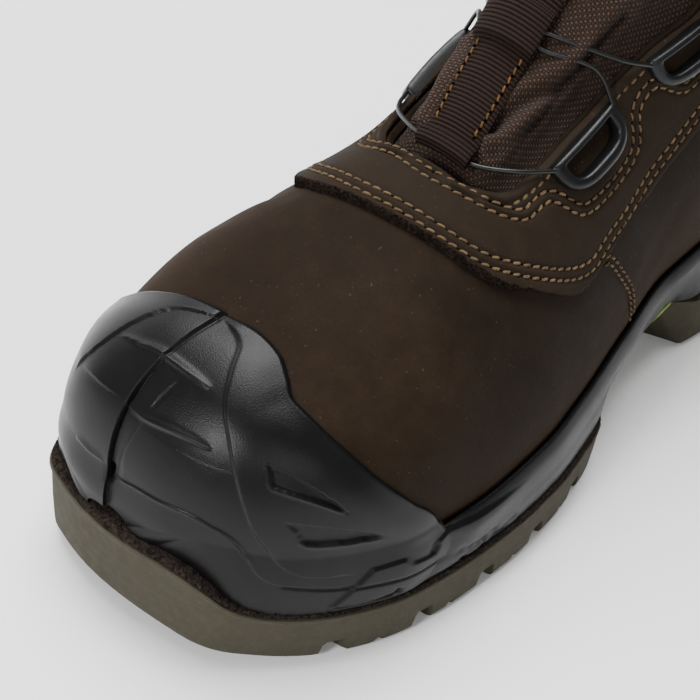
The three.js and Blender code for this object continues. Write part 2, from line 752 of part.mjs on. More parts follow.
function laceFacing() {
  const table = columnsOf(FACING_COLUMNS, FACING);
  const knots = FACING.map((_, i) => i);
  const shares = range(2 * (FACING.length - 1)).map((t) => t * (FACING.length - 1));
  const at = (row, share) => ["Section", "Girth"].map((part) => mix(
    smooth(knots, table[`throat${part}`], row), smooth(knots, table[`edge${part}`], row), share));
  const level = (offset) => (row, share) => onForm(...at(row, share), offset);
  const outline = solid(plate(shares, range(3), level(2 * FACING_WALL), level(-FACING_WALL)));
  return largest(outline.intersect(grownForm(FACING_WALL + CLEARANCE))
    .subtract(grownForm(CLEARANCE)).subtract(aboveCollar()));
}

// Section index where the seat turns up at the heel
const INSOLE_HEEL = 13.05;

// The insole fills the bottom of the shrunk form to its own thickness
function insole() {
  const gap = UPPER_WALL + 2 * CLEARANCE;
  const rings = range(30).map((t) => {
    const seat = formPoint(mix(SHRUNK_START, INSOLE_HEEL, t), 1);
    const top = seat.z + gap + INSOLE_THICKNESS;
    return [[1, seat.z - gap], [1, top], [-1, top], [-1, seat.z - gap]].map(([side, z]) => (
      new THREE.Vector3(side * BALL_WIDTH, seat.y, z)));
  });
  return largest(solid(loft(rings)).intersect(shrunkForm(gap)));
}

// Tongue, webbing, guides and wire

const UNDER_UPPER = -(UPPER_WALL + 2.5 * CLEARANCE);
const TONGUE_END = 16.75;

function tongue() {
  const start = 6.6;
  const shares = [6.6, 6.9, 7.1, 7.3, 7.6, 8, 8.5, 9, 9.5, 10, 10.5, 11, 11.5, 12,
    12.65, 13.35, 14.25, 15, 16, TONGUE_END];
  const cross = [-1.35, -1.15, -0.94, -0.8, -0.62, -0.45, -0.2, 0, 0.2, 0.45, 0.62, 0.8, 0.94, 1.15, 1.35];
  const girth = (section, t) => {
    const edgeSection = Math.max(section, THROAT_START + 0.3);
    const share = t > 0 ? throatGirth(edgeSection, "outer") : -throatGirth(edgeSection, "inner");
    return t * share;
  };
  const swell = (section, t) => {
    const lift = THREE.MathUtils.smoothstep(section, THROAT_START + 0.15, THROAT_START + 0.6);
    const crown = 1 - THREE.MathUtils.smoothstep(Math.abs(t), 0.55, 0.88);
    return lift * crown;
  };
  const top = (section, t) => onForm(section, girth(section, t),
    mix(UNDER_UPPER, TONGUE_PUFF, swell(section, t)));
  const under = (section, t) => {
    const thin = THREE.MathUtils.smoothstep(Math.abs(t), 0.9, 1.35);
    const front = THREE.MathUtils.smoothstep(section, start, THROAT_START + 0.3);
    const thickness = mix(TONGUE_THICKNESS, TONGUE_THICKNESS / 3, Math.max(thin, 1 - front));
    return onForm(section, girth(section, t), UNDER_UPPER - thickness);
  };
  return solid(plate(shares, cross, top, under));
}

// Webbing stitched down the tongue, arched over the wire in two loops
function webbing() {
  const table = columnsOf(WEBBING_COLUMNS, WEBBING);
  const level = TONGUE_PUFF + 2 * CLEARANCE;
  const arch = WIRE_DIAMETER + 4 * CLEARANCE;
  const at = (height) => (section, t) => {
    const low = level + arch * smooth(table.section, table.rise, section);
    return onForm(section, girthAt(section, WEBBING_SHIFT + t * WEBBING_WIDTH), low + height);
  };
  return solid(plate(table.section, [-0.5, -0.25, -0.02, 0.02, 0.25, 0.5], at(WEBBING_THICKNESS), at(0)));
}

// Place of a guide: its own origin at the middle of the straight bar
function guideFrame(section, girth, side) {
  const origin = onForm(section, side * girth, FACING_WALL + 2 * CLEARANCE);
  const out = formNormal(section, side * girth);
  const slope = (throatGirth(section + 0.4, "outer") - throatGirth(section - 0.4, "outer"));
  const ahead = onForm(section + 0.4, side * (girth + slope / 2), 0);
  const behind = onForm(section - 0.4, side * (girth - slope / 2), 0);
  const run = ahead.sub(behind);
  run.addScaledVector(out, -run.dot(out)).normalize();
  const away = new THREE.Vector3().crossVectors(out, run).multiplyScalar(-side).normalize();
  return { origin, run, away, out };
}

function inFrame(frame, run, away, out) {
  return frame.origin.clone().addScaledVector(frame.run, run)
    .addScaledVector(frame.away, away).addScaledVector(frame.out, out);
}

function guide(frame) {
  const half = GUIDE_LENGTH / 2;
  const shape = new THREE.Shape();
  shape.absellipse(0, 0, half, GUIDE_DEPTH, 0, Math.PI);
  const slot = new THREE.Path();
  slot.absellipse(0, GUIDE_BAR, half - 1.6 * GUIDE_BAR, GUIDE_DEPTH - 2 * GUIDE_BAR, 0, Math.PI);
  shape.holes.push(slot);
  const sunk = 1.5;
  const geometry = new THREE.ExtrudeGeometry(shape, {
    depth: GUIDE_HEIGHT + sunk - 0.6, bevelThickness: 0.6, bevelSize: 0.6, bevelOffset: -0.6,
    bevelSegments: 1, curveSegments: 8,
  });
  geometry.translate(0, 0, -sunk);
  const place = new THREE.Matrix4().makeBasis(frame.run, frame.away, frame.out);
  place.setPosition(frame.origin);
  geometry.applyMatrix4(place);
  const points = geometry.attributes.position;
  const triangles = range(points.count / 3 - 1).map((_, i) => [3 * i, 3 * i + 1, 3 * i + 2]);
  const corners = Array.from({ length: points.count }, (_, i) => new THREE.Vector3().fromBufferAttribute(points, i));
  return largest(solid(body(corners, triangles)).subtract(grownForm(FACING_WALL + 2 * CLEARANCE)));
}

function wire(points) {
  const curve = new THREE.CatmullRomCurve3(points, false, "centripetal");
  const shape = new THREE.Shape();
  shape.absarc(0, 0, WIRE_DIAMETER / 2, 0, 2 * Math.PI);
  return solid(new THREE.ExtrudeGeometry(shape, {
    extrudePath: curve, steps: 16, bevelEnabled: false, curveSegments: 4,
  }));
}

const WIRE_LEVEL = TONGUE_PUFF + 3 * CLEARANCE + WIRE_DIAMETER / 2;
const WIRE_OVER_EDGE = FACING_WALL + 3 * CLEARANCE + WIRE_DIAMETER / 2;

// A point of the wire's way past the webbing, at a width from the webbing's middle line
function onWidth(section, width, offset) {
  return onForm(section, girthAt(section, WEBBING_SHIFT + width), offset);
}

// The lowest span, from guide to guide through the webbing's lower loop
function lowerSpan(frames) {
  const reach = -GUIDE_LENGTH / 2 - CLEARANCE - WIRE_DIAMETER / 2;
  const end = (frame) => inFrame(frame, reach, GUIDE_BAR / 2, GUIDE_HEIGHT / 2);
  const out = WEBBING_WIDTH / 2 + 1;
  return wire([
    end(frames.outer),
    onForm(7.85, 0.19, WIRE_OVER_EDGE),
    onWidth(7.38, out, WIRE_LEVEL + 0.2),
    onWidth(7.36, 0.5, WIRE_LEVEL),
    onWidth(7.38, -out, WIRE_LEVEL + 0.2),
    onForm(7.85, -0.205, WIRE_OVER_EDGE),
    end(frames.inner),
  ]);
}

// Two wires that cross in the upper loop, each from a lower guide to the other side's upper one
function wireCross(lower, upperOnes) {
  const out = WEBBING_WIDTH / 2 + 1;
  const reach = GUIDE_LENGTH / 2 + CLEARANCE + WIRE_DIAMETER / 2;
  const strand = (from, to) => {
    const a = from === "outer" ? 1 : -1;
    return wire([
      inFrame(lower[from], reach, GUIDE_BAR / 2, GUIDE_HEIGHT / 2),
      onForm(9.74, a * 0.24, WIRE_OVER_EDGE),
      onWidth(9.37, a * out, WIRE_LEVEL + 0.6),
      onWidth(9.49, 0, WIRE_LEVEL),
      onWidth(9.61, -a * out, WIRE_LEVEL + 0.6),
      onForm(10.1, -a * 0.27, WIRE_OVER_EDGE),
      inFrame(upperOnes[to], -reach, GUIDE_BAR / 2, GUIDE_HEIGHT / 2),
    ]);
  };
  return strand("outer", "inner").add(strand("inner", "outer"));
}

function assemble() {
  const boot = new THREE.Group();
  boot.add(mesh("outsole", outsole(), OLIVE_RUBBER));
  boot.add(mesh("cup_sole_toe_cover", cupSole(), BLACK_SOLE));
  boot.add(mesh("upper", upper(), LEATHER));
  boot.add(mesh("lace_facing", laceFacing(), LEATHER));
  boot.add(mesh("insole", insole(), LINING));
  boot.add(mesh("tongue", tongue(), TEXTILE));
  boot.add(mesh("tongue_webbing", webbing(), WEBBING_CLOTH));
  const frames = {};
  GUIDES.forEach(([place, section, girth]) => {
    frames[place] = { outer: guideFrame(section, girth, 1), inner: guideFrame(section, girth, -1) };
    Object.entries(frames[place]).forEach(([side, frame]) => {
      boot.add(mesh(`${place}_${side}_guide`, guide(frame), BLACK_PLASTIC));
    });
  });
  boot.add(mesh("lace_lower_span", lowerSpan(frames.lower), WIRE));
  boot.add(mesh("lace_cross", wireCross(frames.lower, frames.upper), WIRE));
  return boot;
}

// The origin is under the middle of the boot, on the floor
function centred(boot) {
  const box = new THREE.Box3().setFromObject(boot);
  boot.position.set(-(box.min.x + box.max.x) / 2, -(box.min.y + box.max.y) / 2, -box.min.z);
  boot.updateMatrixWorld(true);
  return boot;
}

export default centred(assemble());
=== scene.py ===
"""Safety boot for the left foot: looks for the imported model.

The file follows the boot as it is put together: last and upper, lace facing, cup sole with toe
cover, outsole, insole, tongue, webbing, wire guides and wire. Sizes are in millimetres on the
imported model's own axes and become metres when a mesh is made.
"""
import math
import bpy
import numpy as np
from mathutils import Matrix, Vector


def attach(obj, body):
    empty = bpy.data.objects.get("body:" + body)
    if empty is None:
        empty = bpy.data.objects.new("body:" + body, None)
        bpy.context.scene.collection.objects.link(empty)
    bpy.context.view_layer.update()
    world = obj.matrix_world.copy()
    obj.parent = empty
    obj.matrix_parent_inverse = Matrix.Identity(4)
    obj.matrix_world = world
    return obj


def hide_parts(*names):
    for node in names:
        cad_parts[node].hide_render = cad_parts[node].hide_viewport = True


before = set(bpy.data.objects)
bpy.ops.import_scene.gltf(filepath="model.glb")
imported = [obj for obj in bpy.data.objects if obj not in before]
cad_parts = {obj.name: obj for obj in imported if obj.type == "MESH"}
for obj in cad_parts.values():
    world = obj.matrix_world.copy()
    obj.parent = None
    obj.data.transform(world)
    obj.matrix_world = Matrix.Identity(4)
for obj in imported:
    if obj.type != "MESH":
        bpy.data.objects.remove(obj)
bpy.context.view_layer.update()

# The studio: a pale floor, a pale world, four soft lights, daylight and the camera at the photo's angle,
# which looks down at the toe from in front of the boot's outer side.
MIDDLE = -1.07


def to_camera(azimuth, elevation, roll, aside, up, distance):
    """The camera's axes as rows and its place, for a view that looks at a point beside the origin."""
    back = np.array([math.sin(azimuth) * math.cos(elevation), -math.cos(azimuth) * math.cos(elevation),
                     math.sin(elevation)])
    right = np.array([math.cos(azimuth), math.sin(azimuth), 0.0])
    over = np.cross(back, right)
    turned = math.cos(roll) * right + math.sin(roll) * over
    raised = -math.sin(roll) * right + math.cos(roll) * over
    axes = np.array([turned, raised, back])
    return axes, axes.T @ np.array([aside, up, distance])


axes, place = to_camera(0.6598, 0.7226, 0.1285, -43.46, 4.31, 477.1)
camera_data = bpy.data.cameras.new("photo_camera")
camera_data.sensor_width = 36
camera_data.lens = 36 * 1469.4 / 700
camera = bpy.data.objects.new("photo_camera", camera_data)
bpy.context.scene.collection.objects.link(camera)
camera_place = Vector((place + [MIDDLE, 0, 0]) / 1000)
camera.matrix_world = Matrix.Translation(camera_place) @ Matrix(axes.T.tolist()).to_4x4()
bpy.context.scene.camera = camera

floor_mesh = bpy.data.meshes.new("floor")
floor_mesh.from_pydata([(-30, -30, 0), (30, -30, 0), (30, 30, 0), (-30, 30, 0)], [], [(0, 1, 2, 3)])
floor = bpy.data.objects.new("floor", floor_mesh)
bpy.context.scene.collection.objects.link(floor)
floor_paint = bpy.data.materials.new("pale_floor")
floor_paint.use_nodes = True
floor_paint.node_tree.nodes["Principled BSDF"].inputs["Base Color"].default_value = (0.92, 0.92, 0.92, 1)
floor_paint.node_tree.nodes["Principled BSDF"].inputs["Roughness"].default_value = 0.9
floor_mesh.materials.append(floor_paint)

world = bpy.data.worlds.new("pale_studio")
world.use_nodes = True
world.node_tree.nodes["Background"].inputs["Color"].default_value = (1, 1, 1, 1)
world.node_tree.nodes["Background"].inputs["Strength"].default_value = 0.24
bpy.context.scene.world = world


def softbox(name, at, aim, size, power):
    """A square soft light at a point, aimed at another, both in metres."""
    data = bpy.data.lights.new(name, "AREA")
    data.shape = "SQUARE"
    data.size = size
    data.energy = power
    light = bpy.data.objects.new(name, data)
    light.location = at
    light.rotation_euler = (Vector(aim) - Vector(at)).to_track_quat("-Z", "Y").to_euler()
    bpy.context.scene.collection.objects.link(light)


softbox("key", (-0.35, 0.25, 1.5), (0, -0.05, 0.06), 1.1, 46)
softbox("fill", (1.3, -1.0, 0.9), (0, 0, 0.06), 0.9, 9)
softbox("side", (-1.5, 0.1, 0.5), (0, -0.05, 0.06), 1.2, 12)
softbox("front", (0.0, -1.02, 0.61), (0.01, -0.13, 0.06), 0.22, 9)
daylight = bpy.data.lights.new("daylight", "SUN")
daylight.energy, daylight.angle = 1.1, math.radians(45)
sun = bpy.data.objects.new("daylight", daylight)
sun.rotation_euler = Vector((0.25, -0.15, -1.0)).to_track_quat("-Z", "Y").to_euler()
bpy.context.scene.collection.objects.link(sun)

# The last and the upper. Dark brown nubuck, cut as vamp and quarters and pulled over a last, so
# the leather has the last's form, about 2 mm thick, with its margin turned in under the insole.
LAST_LENGTH, LAST_WIDTH, LAST_INSTEP, LAST_SEAT, LAST_SHAFT = 304, 104, 98.5, 30, 120
LAST_COLUMNS = ("seat_along seat_low seat_rise top_along top_height outer inner outer_feather "
                "inner_feather waist bow ridge").split()
LAST_ROWS = np.array([
    [-0.475, 1.00, 0, -0.475, 0.345, -0.038, -0.150, -0.048, -0.140, 0.50, 2.20, -0.096],
    [-0.470, 0.95, 0, -0.470, 0.480, 0.060, -0.236, 0.020, -0.185, 0.45, 2.40, -0.100],
    [-0.456, 0.90, 0, -0.456, 0.600, 0.177, -0.322, 0.125, -0.262, 0.38, 2.60, -0.094],
    [-0.426, 0.85, 0, -0.426, 0.703, 0.302, -0.394, 0.240, -0.334, 0.30, 2.60, -0.082],
    [-0.367, 0.78, 0, -0.367, 0.785, 0.418, -0.464, 0.352, -0.400, 0.25, 2.60, -0.058],
    [-0.296, 0.72, 0, -0.296, 0.874, 0.486, -0.495, 0.418, -0.428, 0.22, 2.48, -0.038],
    [-0.224, 0.68, 0, -0.224, 0.954, 0.500, -0.490, 0.433, -0.423, 0.20, 2.06, -0.019],
    [-0.148, 0.68, 0, -0.155, 1.000, 0.490, -0.466, 0.423, -0.399, 0.19, 1.95, 0],
    [-0.066, 0.72, 0, -0.109, 1.076, 0.452, -0.423, 0.385, -0.345, 0.185, 1.85, -0.024],
    [0.033, 0.80, 0, -0.056, 1.198, 0.394, -0.362, 0.317, -0.268, 0.20, 1.85, -0.053],
    [0.148, 0.92, 0, -0.010, 1.330, 0.346, -0.327, 0.260, -0.230, 0.275, 1.90, -0.067],
    [0.280, 0.98, 0, 0.026, 1.462, 0.346, -0.327, 0.250, -0.231, 0.34, 1.95, -0.058],
    [0.395, 1.00, 0, 0.049, 1.553, 0.346, -0.327, 0.231, -0.212, 0.41, 2.05, -0.048],
    [0.464, 1.00, 0.050, 0.066, 1.624, 0.346, -0.327, 0.048, -0.048, 0.46, 2.10, -0.038],
    [0.484, 1.00, 0.270, 0.079, 1.675, 0.341, -0.327, 0.010, -0.010, 0.48, 2.15, -0.029],
    [0.464, 1.00, 0.625, 0.089, 1.716, 0.337, -0.327, 0.010, -0.010, 0.50, 2.20, -0.019],
    [0.447, 1.00, 1.000, 0.102, 1.787, 0.346, -0.337, 0.010, -0.010, 0.50, 2.20, 0],
    [0.444, 1.00, 1.210, 0.112, 1.888, 0.356, -0.346, 0.010, -0.010, 0.50, 2.20, 0],
])
LAST_END = len(LAST_ROWS) - 1
WIDEST = 0.72


def curve(knots, values, at):
    """Smooth curve through the values at the knots, level at each peak, so it never overshoots."""
    knots, values = np.asarray(knots, float), np.asarray(values, float)
    at = np.clip(np.asarray(at, float), knots[0], knots[-1])
    steps = np.diff(knots)
    rises = np.diff(values) / steps
    slopes = np.zeros(len(knots))
    slopes[0], slopes[-1] = rises[0], rises[-1]
    for i in range(1, len(knots) - 1):
        if rises[i - 1] * rises[i] > 0:
            before = 2 * steps[i] + steps[i - 1]
            after = steps[i] + 2 * steps[i - 1]
            slopes[i] = (before + after) / (before / rises[i - 1] + after / rises[i])
    i = np.clip(np.searchsorted(knots, at, side="right") - 1, 0, len(knots) - 2)
    step, t = steps[i], (at - knots[i]) / steps[i]
    return ((1 + 2 * t) * (1 - t) ** 2 * values[i] + t * (1 - t) ** 2 * step * slopes[i]
            + t * t * (3 - 2 * t) * values[i + 1] + t * t * (t - 1) * step * slopes[i + 1])


def last_point(section, girth):
    """A point of the last: section 0 at the toe to 17 above the collar, girth -1 inner to 1 outer."""
    section, girth = np.broadcast_arrays(np.asarray(section, float), np.asarray(girth, float))
    knots = np.arange(len(LAST_ROWS))
    of = {name: curve(knots, LAST_ROWS[:, i], section) for i, name in enumerate(LAST_COLUMNS)}
    outer = girth >= 0
    widest = np.where(outer, of["outer"], of["inner"]) * LAST_WIDTH
    feather = np.where(outer, of["outer_feather"], of["inner_feather"]) * LAST_WIDTH
    ridge = of["ridge"] * LAST_WIDTH
    up = 1 - np.abs(girth)
    low = up < 1 - WIDEST
    turn_low = np.clip(up / (1 - WIDEST), 0, 1) * np.pi / 2
    turn_high = np.clip((up - 1 + WIDEST) / WIDEST, 0, 1) * np.pi / 2
    power = 2 / of["bow"]
    x = np.where(low, feather + (widest - feather) * np.sin(turn_low),
                 ridge + (widest - ridge) * np.clip(np.cos(turn_high), 0, 1) ** power)
    share = np.where(low, of["waist"] * (1 - np.cos(turn_low)),
                     of["waist"] + (1 - of["waist"]) * np.sin(turn_high) ** power)
    seat_y, seat_z = of["seat_along"] * LAST_LENGTH, of["seat_low"] * LAST_SEAT + of["seat_rise"] * LAST_SHAFT
    top_y, top_z = of["top_along"] * LAST_LENGTH, of["top_height"] * LAST_INSTEP
    return np.stack([x + MIDDLE, seat_y + (top_y - seat_y) * share, seat_z + (top_z - seat_z) * share], -1)


def last_normal(section, girth):
    step = 1e-3
    section, girth = np.broadcast_arrays(np.asarray(section, float), np.asarray(girth, float))
    along = last_point(np.minimum(section + step, LAST_END), girth)
    along -= last_point(np.maximum(section - step, 0), girth)
    over = last_point(section, np.minimum(girth + step, 1))
    over -= last_point(section, np.maximum(girth - step, -1))
    out = -np.cross(along, over)
    return out / np.maximum(np.linalg.norm(out, axis=-1, keepdims=True), 1e-12)


def on_last(section, girth, offset=0.0):
    """A point of the last, moved out by an offset."""
    offset = np.asarray(offset, float)
    return last_point(section, girth) + last_normal(section, girth) * offset[..., None]


def smoothstep(low, high, value):
    t = np.clip((np.asarray(value, float) - low) / (high - low), 0, 1)
    return t * t * (3 - 2 * t)


def away_from(points, path):
    """Distance of each point from a path of straight pieces."""
    flat = points.reshape(-1, points.shape[-1])
    best = np.full(len(flat), 1e9)
    for a, b in zip(path[:-1], path[1:]):
        run = b - a
        t = np.clip((flat - a) @ run / max(run @ run, 1e-9), 0, 1)
        best = np.minimum(best, np.linalg.norm(flat - a - t[:, None] * run, axis=1))
    return best.reshape(points.shape[:-1])


def drawn(knots, pieces=60, evenness=1.0):
    """A smooth line through the knots, spaced by the knots' distances to a power."""
    knots = np.asarray(knots, float)
    gaps = np.r_[0, np.cumsum(np.linalg.norm(np.diff(knots, axis=0), axis=1) ** evenness)]
    at = np.linspace(0, gaps[-1], pieces)
    padded = np.vstack([2 * knots[0] - knots[1], knots, 2 * knots[-1] - knots[-2]])
    i = np.clip(np.searchsorted(gaps, at, side="right") - 1, 0, len(knots) - 2)
    t = ((at - gaps[i]) / (gaps[i + 1] - gaps[i]))[:, None]
    a, b, c, d = padded[i], padded[i + 1], padded[i + 2], padded[i + 3]
    return 0.5 * (2 * b + (c - a) * t + (2 * a - 5 * b + 4 * c - d) * t ** 2
                  + (3 * b - a - 3 * c + d) * t ** 3)


def inside(section, girth, outline):
    """Which pairs lie inside a closed outline of pairs."""
    result = np.zeros(section.shape, bool)
    j = len(outline) - 1
    for i in range(len(outline)):
        (si, gi), (sj, gj) = outline[i], outline[j]
        crosses = (gi > girth) != (gj > girth)
        result ^= crosses & (section < (sj - si) * (girth - gi) / np.where(gj == gi, 1e-12, gj - gi) + si)
        j = i
    return result


def sheet_mesh(name, grid, keep=None, closed=False, turned=False):
    """A mesh object from a grid of points in millimetres. keep masks the cells that are made, and
    turned faces the sheet the other way."""
    rows, columns = grid.shape[:2]
    cells_across = columns if closed else columns - 1
    i, j = np.meshgrid(np.arange(rows - 1), np.arange(cells_across), indexing="ij")
    nxt = (j + 1) % columns
    faces = np.stack([i * columns + j, i * columns + nxt, (i + 1) * columns + nxt, (i + 1) * columns + j], -1)
    faces = faces.reshape(-1, 4) if keep is None else faces[keep]
    faces = faces[:, ::-1] if turned else faces
    used = np.unique(faces)
    index = np.full(rows * columns, -1)
    index[used] = np.arange(len(used))
    return bare_mesh(name, grid.reshape(-1, 3)[used], index[faces])


def bare_mesh(name, points, faces):
    """A smooth-shaded mesh object from points in millimetres."""
    mesh = bpy.data.meshes.new(name)
    mesh.from_pydata((np.asarray(points) / 1000).tolist(), [], [tuple(int(v) for v in f) for f in faces])
    mesh.validate()
    mesh.shade_smooth()
    piece = bpy.data.objects.new(name, mesh)
    bpy.context.scene.collection.objects.link(piece)
    return piece


def thicken(piece, wall, outwards=False, bevel=0.0):
    """Gives a sheet its wall, in millimetres, and rounds the wall's edges."""
    solid = piece.modifiers.new("wall", "SOLIDIFY")
    solid.thickness = wall / 1000
    solid.offset = 1 if outwards else -1
    solid.use_rim = True
    solid.use_quality_normals = True
    if bevel:
        round_off = piece.modifiers.new("rounded_edge", "BEVEL")
        round_off.width = bevel / 1000
        round_off.segments = 2
        round_off.limit_method = "ANGLE"
        round_off.angle_limit = math.radians(55)
        round_off.harden_normals = False


def paint(piece, *materials):
    piece.data.materials.clear()
    for material in materials:
        piece.data.materials.append(material)


def finish_piece(piece, slot, *nodes):
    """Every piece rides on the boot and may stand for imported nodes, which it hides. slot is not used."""
    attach(piece, "root")
    if nodes:
        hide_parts(*nodes)


def plain_material(name, roughness, sheen=0.0, coat=0.0, coat_roughness=0.3, specular=0.5):
    """A material with its own shader, whose even values sit on the shader's own sockets."""
    material = bpy.data.materials.new(name)
    material.use_nodes = True
    shader = material.node_tree.nodes["Principled BSDF"]
    shader.inputs["Roughness"].default_value = roughness
    shader.inputs["Sheen Weight"].default_value = sheen
    shader.inputs["Coat Weight"].default_value = coat
    shader.inputs["Coat Roughness"].default_value = coat_roughness
    shader.inputs["Specular IOR Level"].default_value = specular
    return material, material.node_tree, shader


def noise(tree, vector, size, detail=4.0, roughness=0.55):
    """Noise with features of a size in millimetres."""
    node = tree.nodes.new("ShaderNodeTexNoise")
    node.inputs["Scale"].default_value = 1000 / size
    node.inputs["Detail"].default_value = detail
    node.inputs["Roughness"].default_value = roughness
    tree.links.new(vector, node.inputs["Vector"])
    return node.outputs["Fac"]


def ramp(tree, value, *stops):
    """A colour ramp: each stop is a position and a colour or a grey."""
    node = tree.nodes.new("ShaderNodeValToRGB")
    while len(node.color_ramp.elements) < len(stops):
        node.color_ramp.elements.new(0.5)
    for element, (position, colour) in zip(node.color_ramp.elements, stops):
        element.position = position
        element.color = (*colour, 1) if isinstance(colour, tuple) else (colour, colour, colour, 1)
    tree.links.new(value, node.inputs["Fac"])
    return node.outputs["Color"]


def blend_colour(tree, share, first, second, kind="MIX"):
    node = tree.nodes.new("ShaderNodeMix")
    node.data_type = "RGBA"
    node.blend_type = kind
    node.clamp_factor = True
    for value, socket in ((share, node.inputs[0]), (first, node.inputs[6]), (second, node.inputs[7])):
        if isinstance(value, (int, float)):
            socket.default_value = value
        elif isinstance(value, tuple):
            socket.default_value = (*value, 1)
        else:
            tree.links.new(value, socket)
    return node.outputs[2]


def sum_up(tree, kind, first, second):
    node = tree.nodes.new("ShaderNodeMath")
    node.operation = kind
    for value, socket in ((first, node.inputs[0]), (second, node.inputs[1])):
        if isinstance(value, (int, float)):
            socket.default_value = value
        else:
            tree.links.new(value, socket)
    return node.outputs[0]


def bump(tree, shader, height, depth, strength=1.0):
    """Bump of a depth in millimetres."""
    node = tree.nodes.new("ShaderNodeBump")
    node.inputs["Distance"].default_value = depth / 1000
    node.inputs["Strength"].default_value = strength
    tree.links.new(height, node.inputs["Height"])
    tree.links.new(node.outputs["Normal"], shader.inputs["Normal"])


def place_of(tree):
    return tree.nodes.new("ShaderNodeTexCoord").outputs["Object"]


def mottle(tree, shader, size, dark, light, ends=(0.3, 0.7), detail=3, roughness=0.55, socket="Base Color"):
    """Clouds of a size in millimetres, from one colour or grey to another, on a socket."""
    clouds = noise(tree, place_of(tree), size, detail, roughness)
    tree.links.new(ramp(tree, clouds, (ends[0], dark), (ends[1], light)), shader.inputs[socket])


def shader_group(name, inputs, outputs):
    """A shader node group with named sockets, and its entry and exit."""
    group = bpy.data.node_groups.new(name, "ShaderNodeTree")
    for way, sockets in (("INPUT", inputs), ("OUTPUT", outputs)):
        for socket, kind in sockets.items():
            group.interface.new_socket(socket, in_out=way, socket_type="NodeSocket" + kind)
    return group, group.nodes.new("NodeGroupInput"), group.nodes.new("NodeGroupOutput")


def weight_of(tree, name):
    """A mask that the mesh carries, from 0 to 1."""
    node = tree.nodes.new("ShaderNodeAttribute")
    node.attribute_name = name
    return node.outputs["Fac"]


def give_weight(piece, name, values):
    layer = piece.data.attributes.new(name, "FLOAT", "POINT")
    layer.data.foreach_set("value", np.asarray(values, float).ravel())


LEATHER_DARK = (0.0100, 0.0064, 0.0039)
LEATHER_MID = (0.0145, 0.0094, 0.0057)
LEATHER_WARM = (0.0235, 0.0128, 0.0070)


def nubuck_group():
    """Nubuck: cloudy colour, fine nap and pores, burnished warmer where the mask is set."""
    group, entry, leave = shader_group("nubuck", {"Place": "Vector", "Burnish": "Float", "Lightness": "Float"},
                                       {"Colour": "Color", "Roughness": "Float", "Height": "Float"})
    where = entry.outputs["Place"]
    clouds = noise(group, where, 38, 5, 0.6)
    mottles = noise(group, where, 6, 5, 0.6)
    nap = noise(group, where, 1.1, 3, 0.6)
    pores = noise(group, where, 0.42, 2, 0.5)
    base = ramp(group, clouds, (0.35, LEATHER_DARK), (0.65, LEATHER_MID))
    warm = blend_colour(group, entry.outputs["Burnish"], base, LEATHER_WARM)
    speckled = blend_colour(group, 0.55, warm, ramp(group, mottles, (0.3, 0.30), (0.7, 0.72)), "OVERLAY")
    napped = blend_colour(group, 0.35, speckled, ramp(group, nap, (0.3, 0.35), (0.72, 0.66)), "OVERLAY")
    lifted = blend_colour(group, entry.outputs["Lightness"], napped, (0.034, 0.026, 0.019))
    specks = ramp(group, noise(group, where, 0.9, 1, 0.4), (0.735, 0.0), (0.78, 1.0))
    dusted = blend_colour(group, sum_up(group, "MULTIPLY", specks, 0.25), lifted, (0.12, 0.095, 0.075))
    group.links.new(dusted, leave.inputs["Colour"])
    group.links.new(ramp(group, mottles, (0.25, 0.60), (0.75, 0.78)), leave.inputs["Roughness"])
    grained = sum_up(group, "ADD", sum_up(group, "MULTIPLY", nap, 0.55), sum_up(group, "MULTIPLY", pores, 0.6))
    group.links.new(grained, leave.inputs["Height"])
    return group


NUBUCK = nubuck_group()


def nubuck_material(name, lightness, burnish_mask=None, bump_depth=0.16):
    material, tree, shader = plain_material(name, 0.7, sheen=0.01, specular=0.03)
    node = tree.nodes.new("ShaderNodeGroup")
    node.node_tree = NUBUCK
    tree.links.new(place_of(tree), node.inputs["Place"])
    node.inputs["Lightness"].default_value = lightness
    node.inputs["Burnish"].default_value = 0.0
    if burnish_mask:
        tree.links.new(weight_of(tree, burnish_mask), node.inputs["Burnish"])
    tree.links.new(node.outputs["Colour"], shader.inputs["Base Color"])
    tree.links.new(node.outputs["Roughness"], shader.inputs["Roughness"])
    bump(tree, shader, node.outputs["Height"], bump_depth)
    return material


THROAT_COLUMNS = np.array([
    # section, outer edge, inner edge
    [7.0, 0.075, -0.125], [7.3, 0.162, -0.190], [7.6, 0.200, -0.220], [8.3, 0.237, -0.250],
    [8.9, 0.262, -0.265], [9.75, 0.300, -0.290], [10.6, 0.325, -0.315], [11.7, 0.362, -0.350],
    [17, 0.370, -0.360],
])
COLLAR_ALONG = np.array([-0.05, 0.12, 0.22, 0.33, 0.44, 0.60]) * LAST_LENGTH
COLLAR_HEIGHT = LAST_SEAT + np.array([1.22, 1.12, 1.02, 0.97, 1.01, 1.03]) * LAST_SHAFT


def throat_edge(section, side):
    return curve(THROAT_COLUMNS[:, 0], THROAT_COLUMNS[:, 1 if side > 0 else 2], section)


def collar_section(girth):
    """The section where the collar line crosses each girth share."""
    low, high = np.full(np.shape(girth), 12.0), np.full(np.shape(girth), float(LAST_END))
    for _ in range(30):
        middle = (low + high) / 2
        point = last_point(middle, girth)
        above = point[..., 2] > curve(COLLAR_ALONG, COLLAR_HEIGHT, point[..., 1])
        low, high = np.where(above, low, middle), np.where(above, middle, high)
    return (low + high) / 2


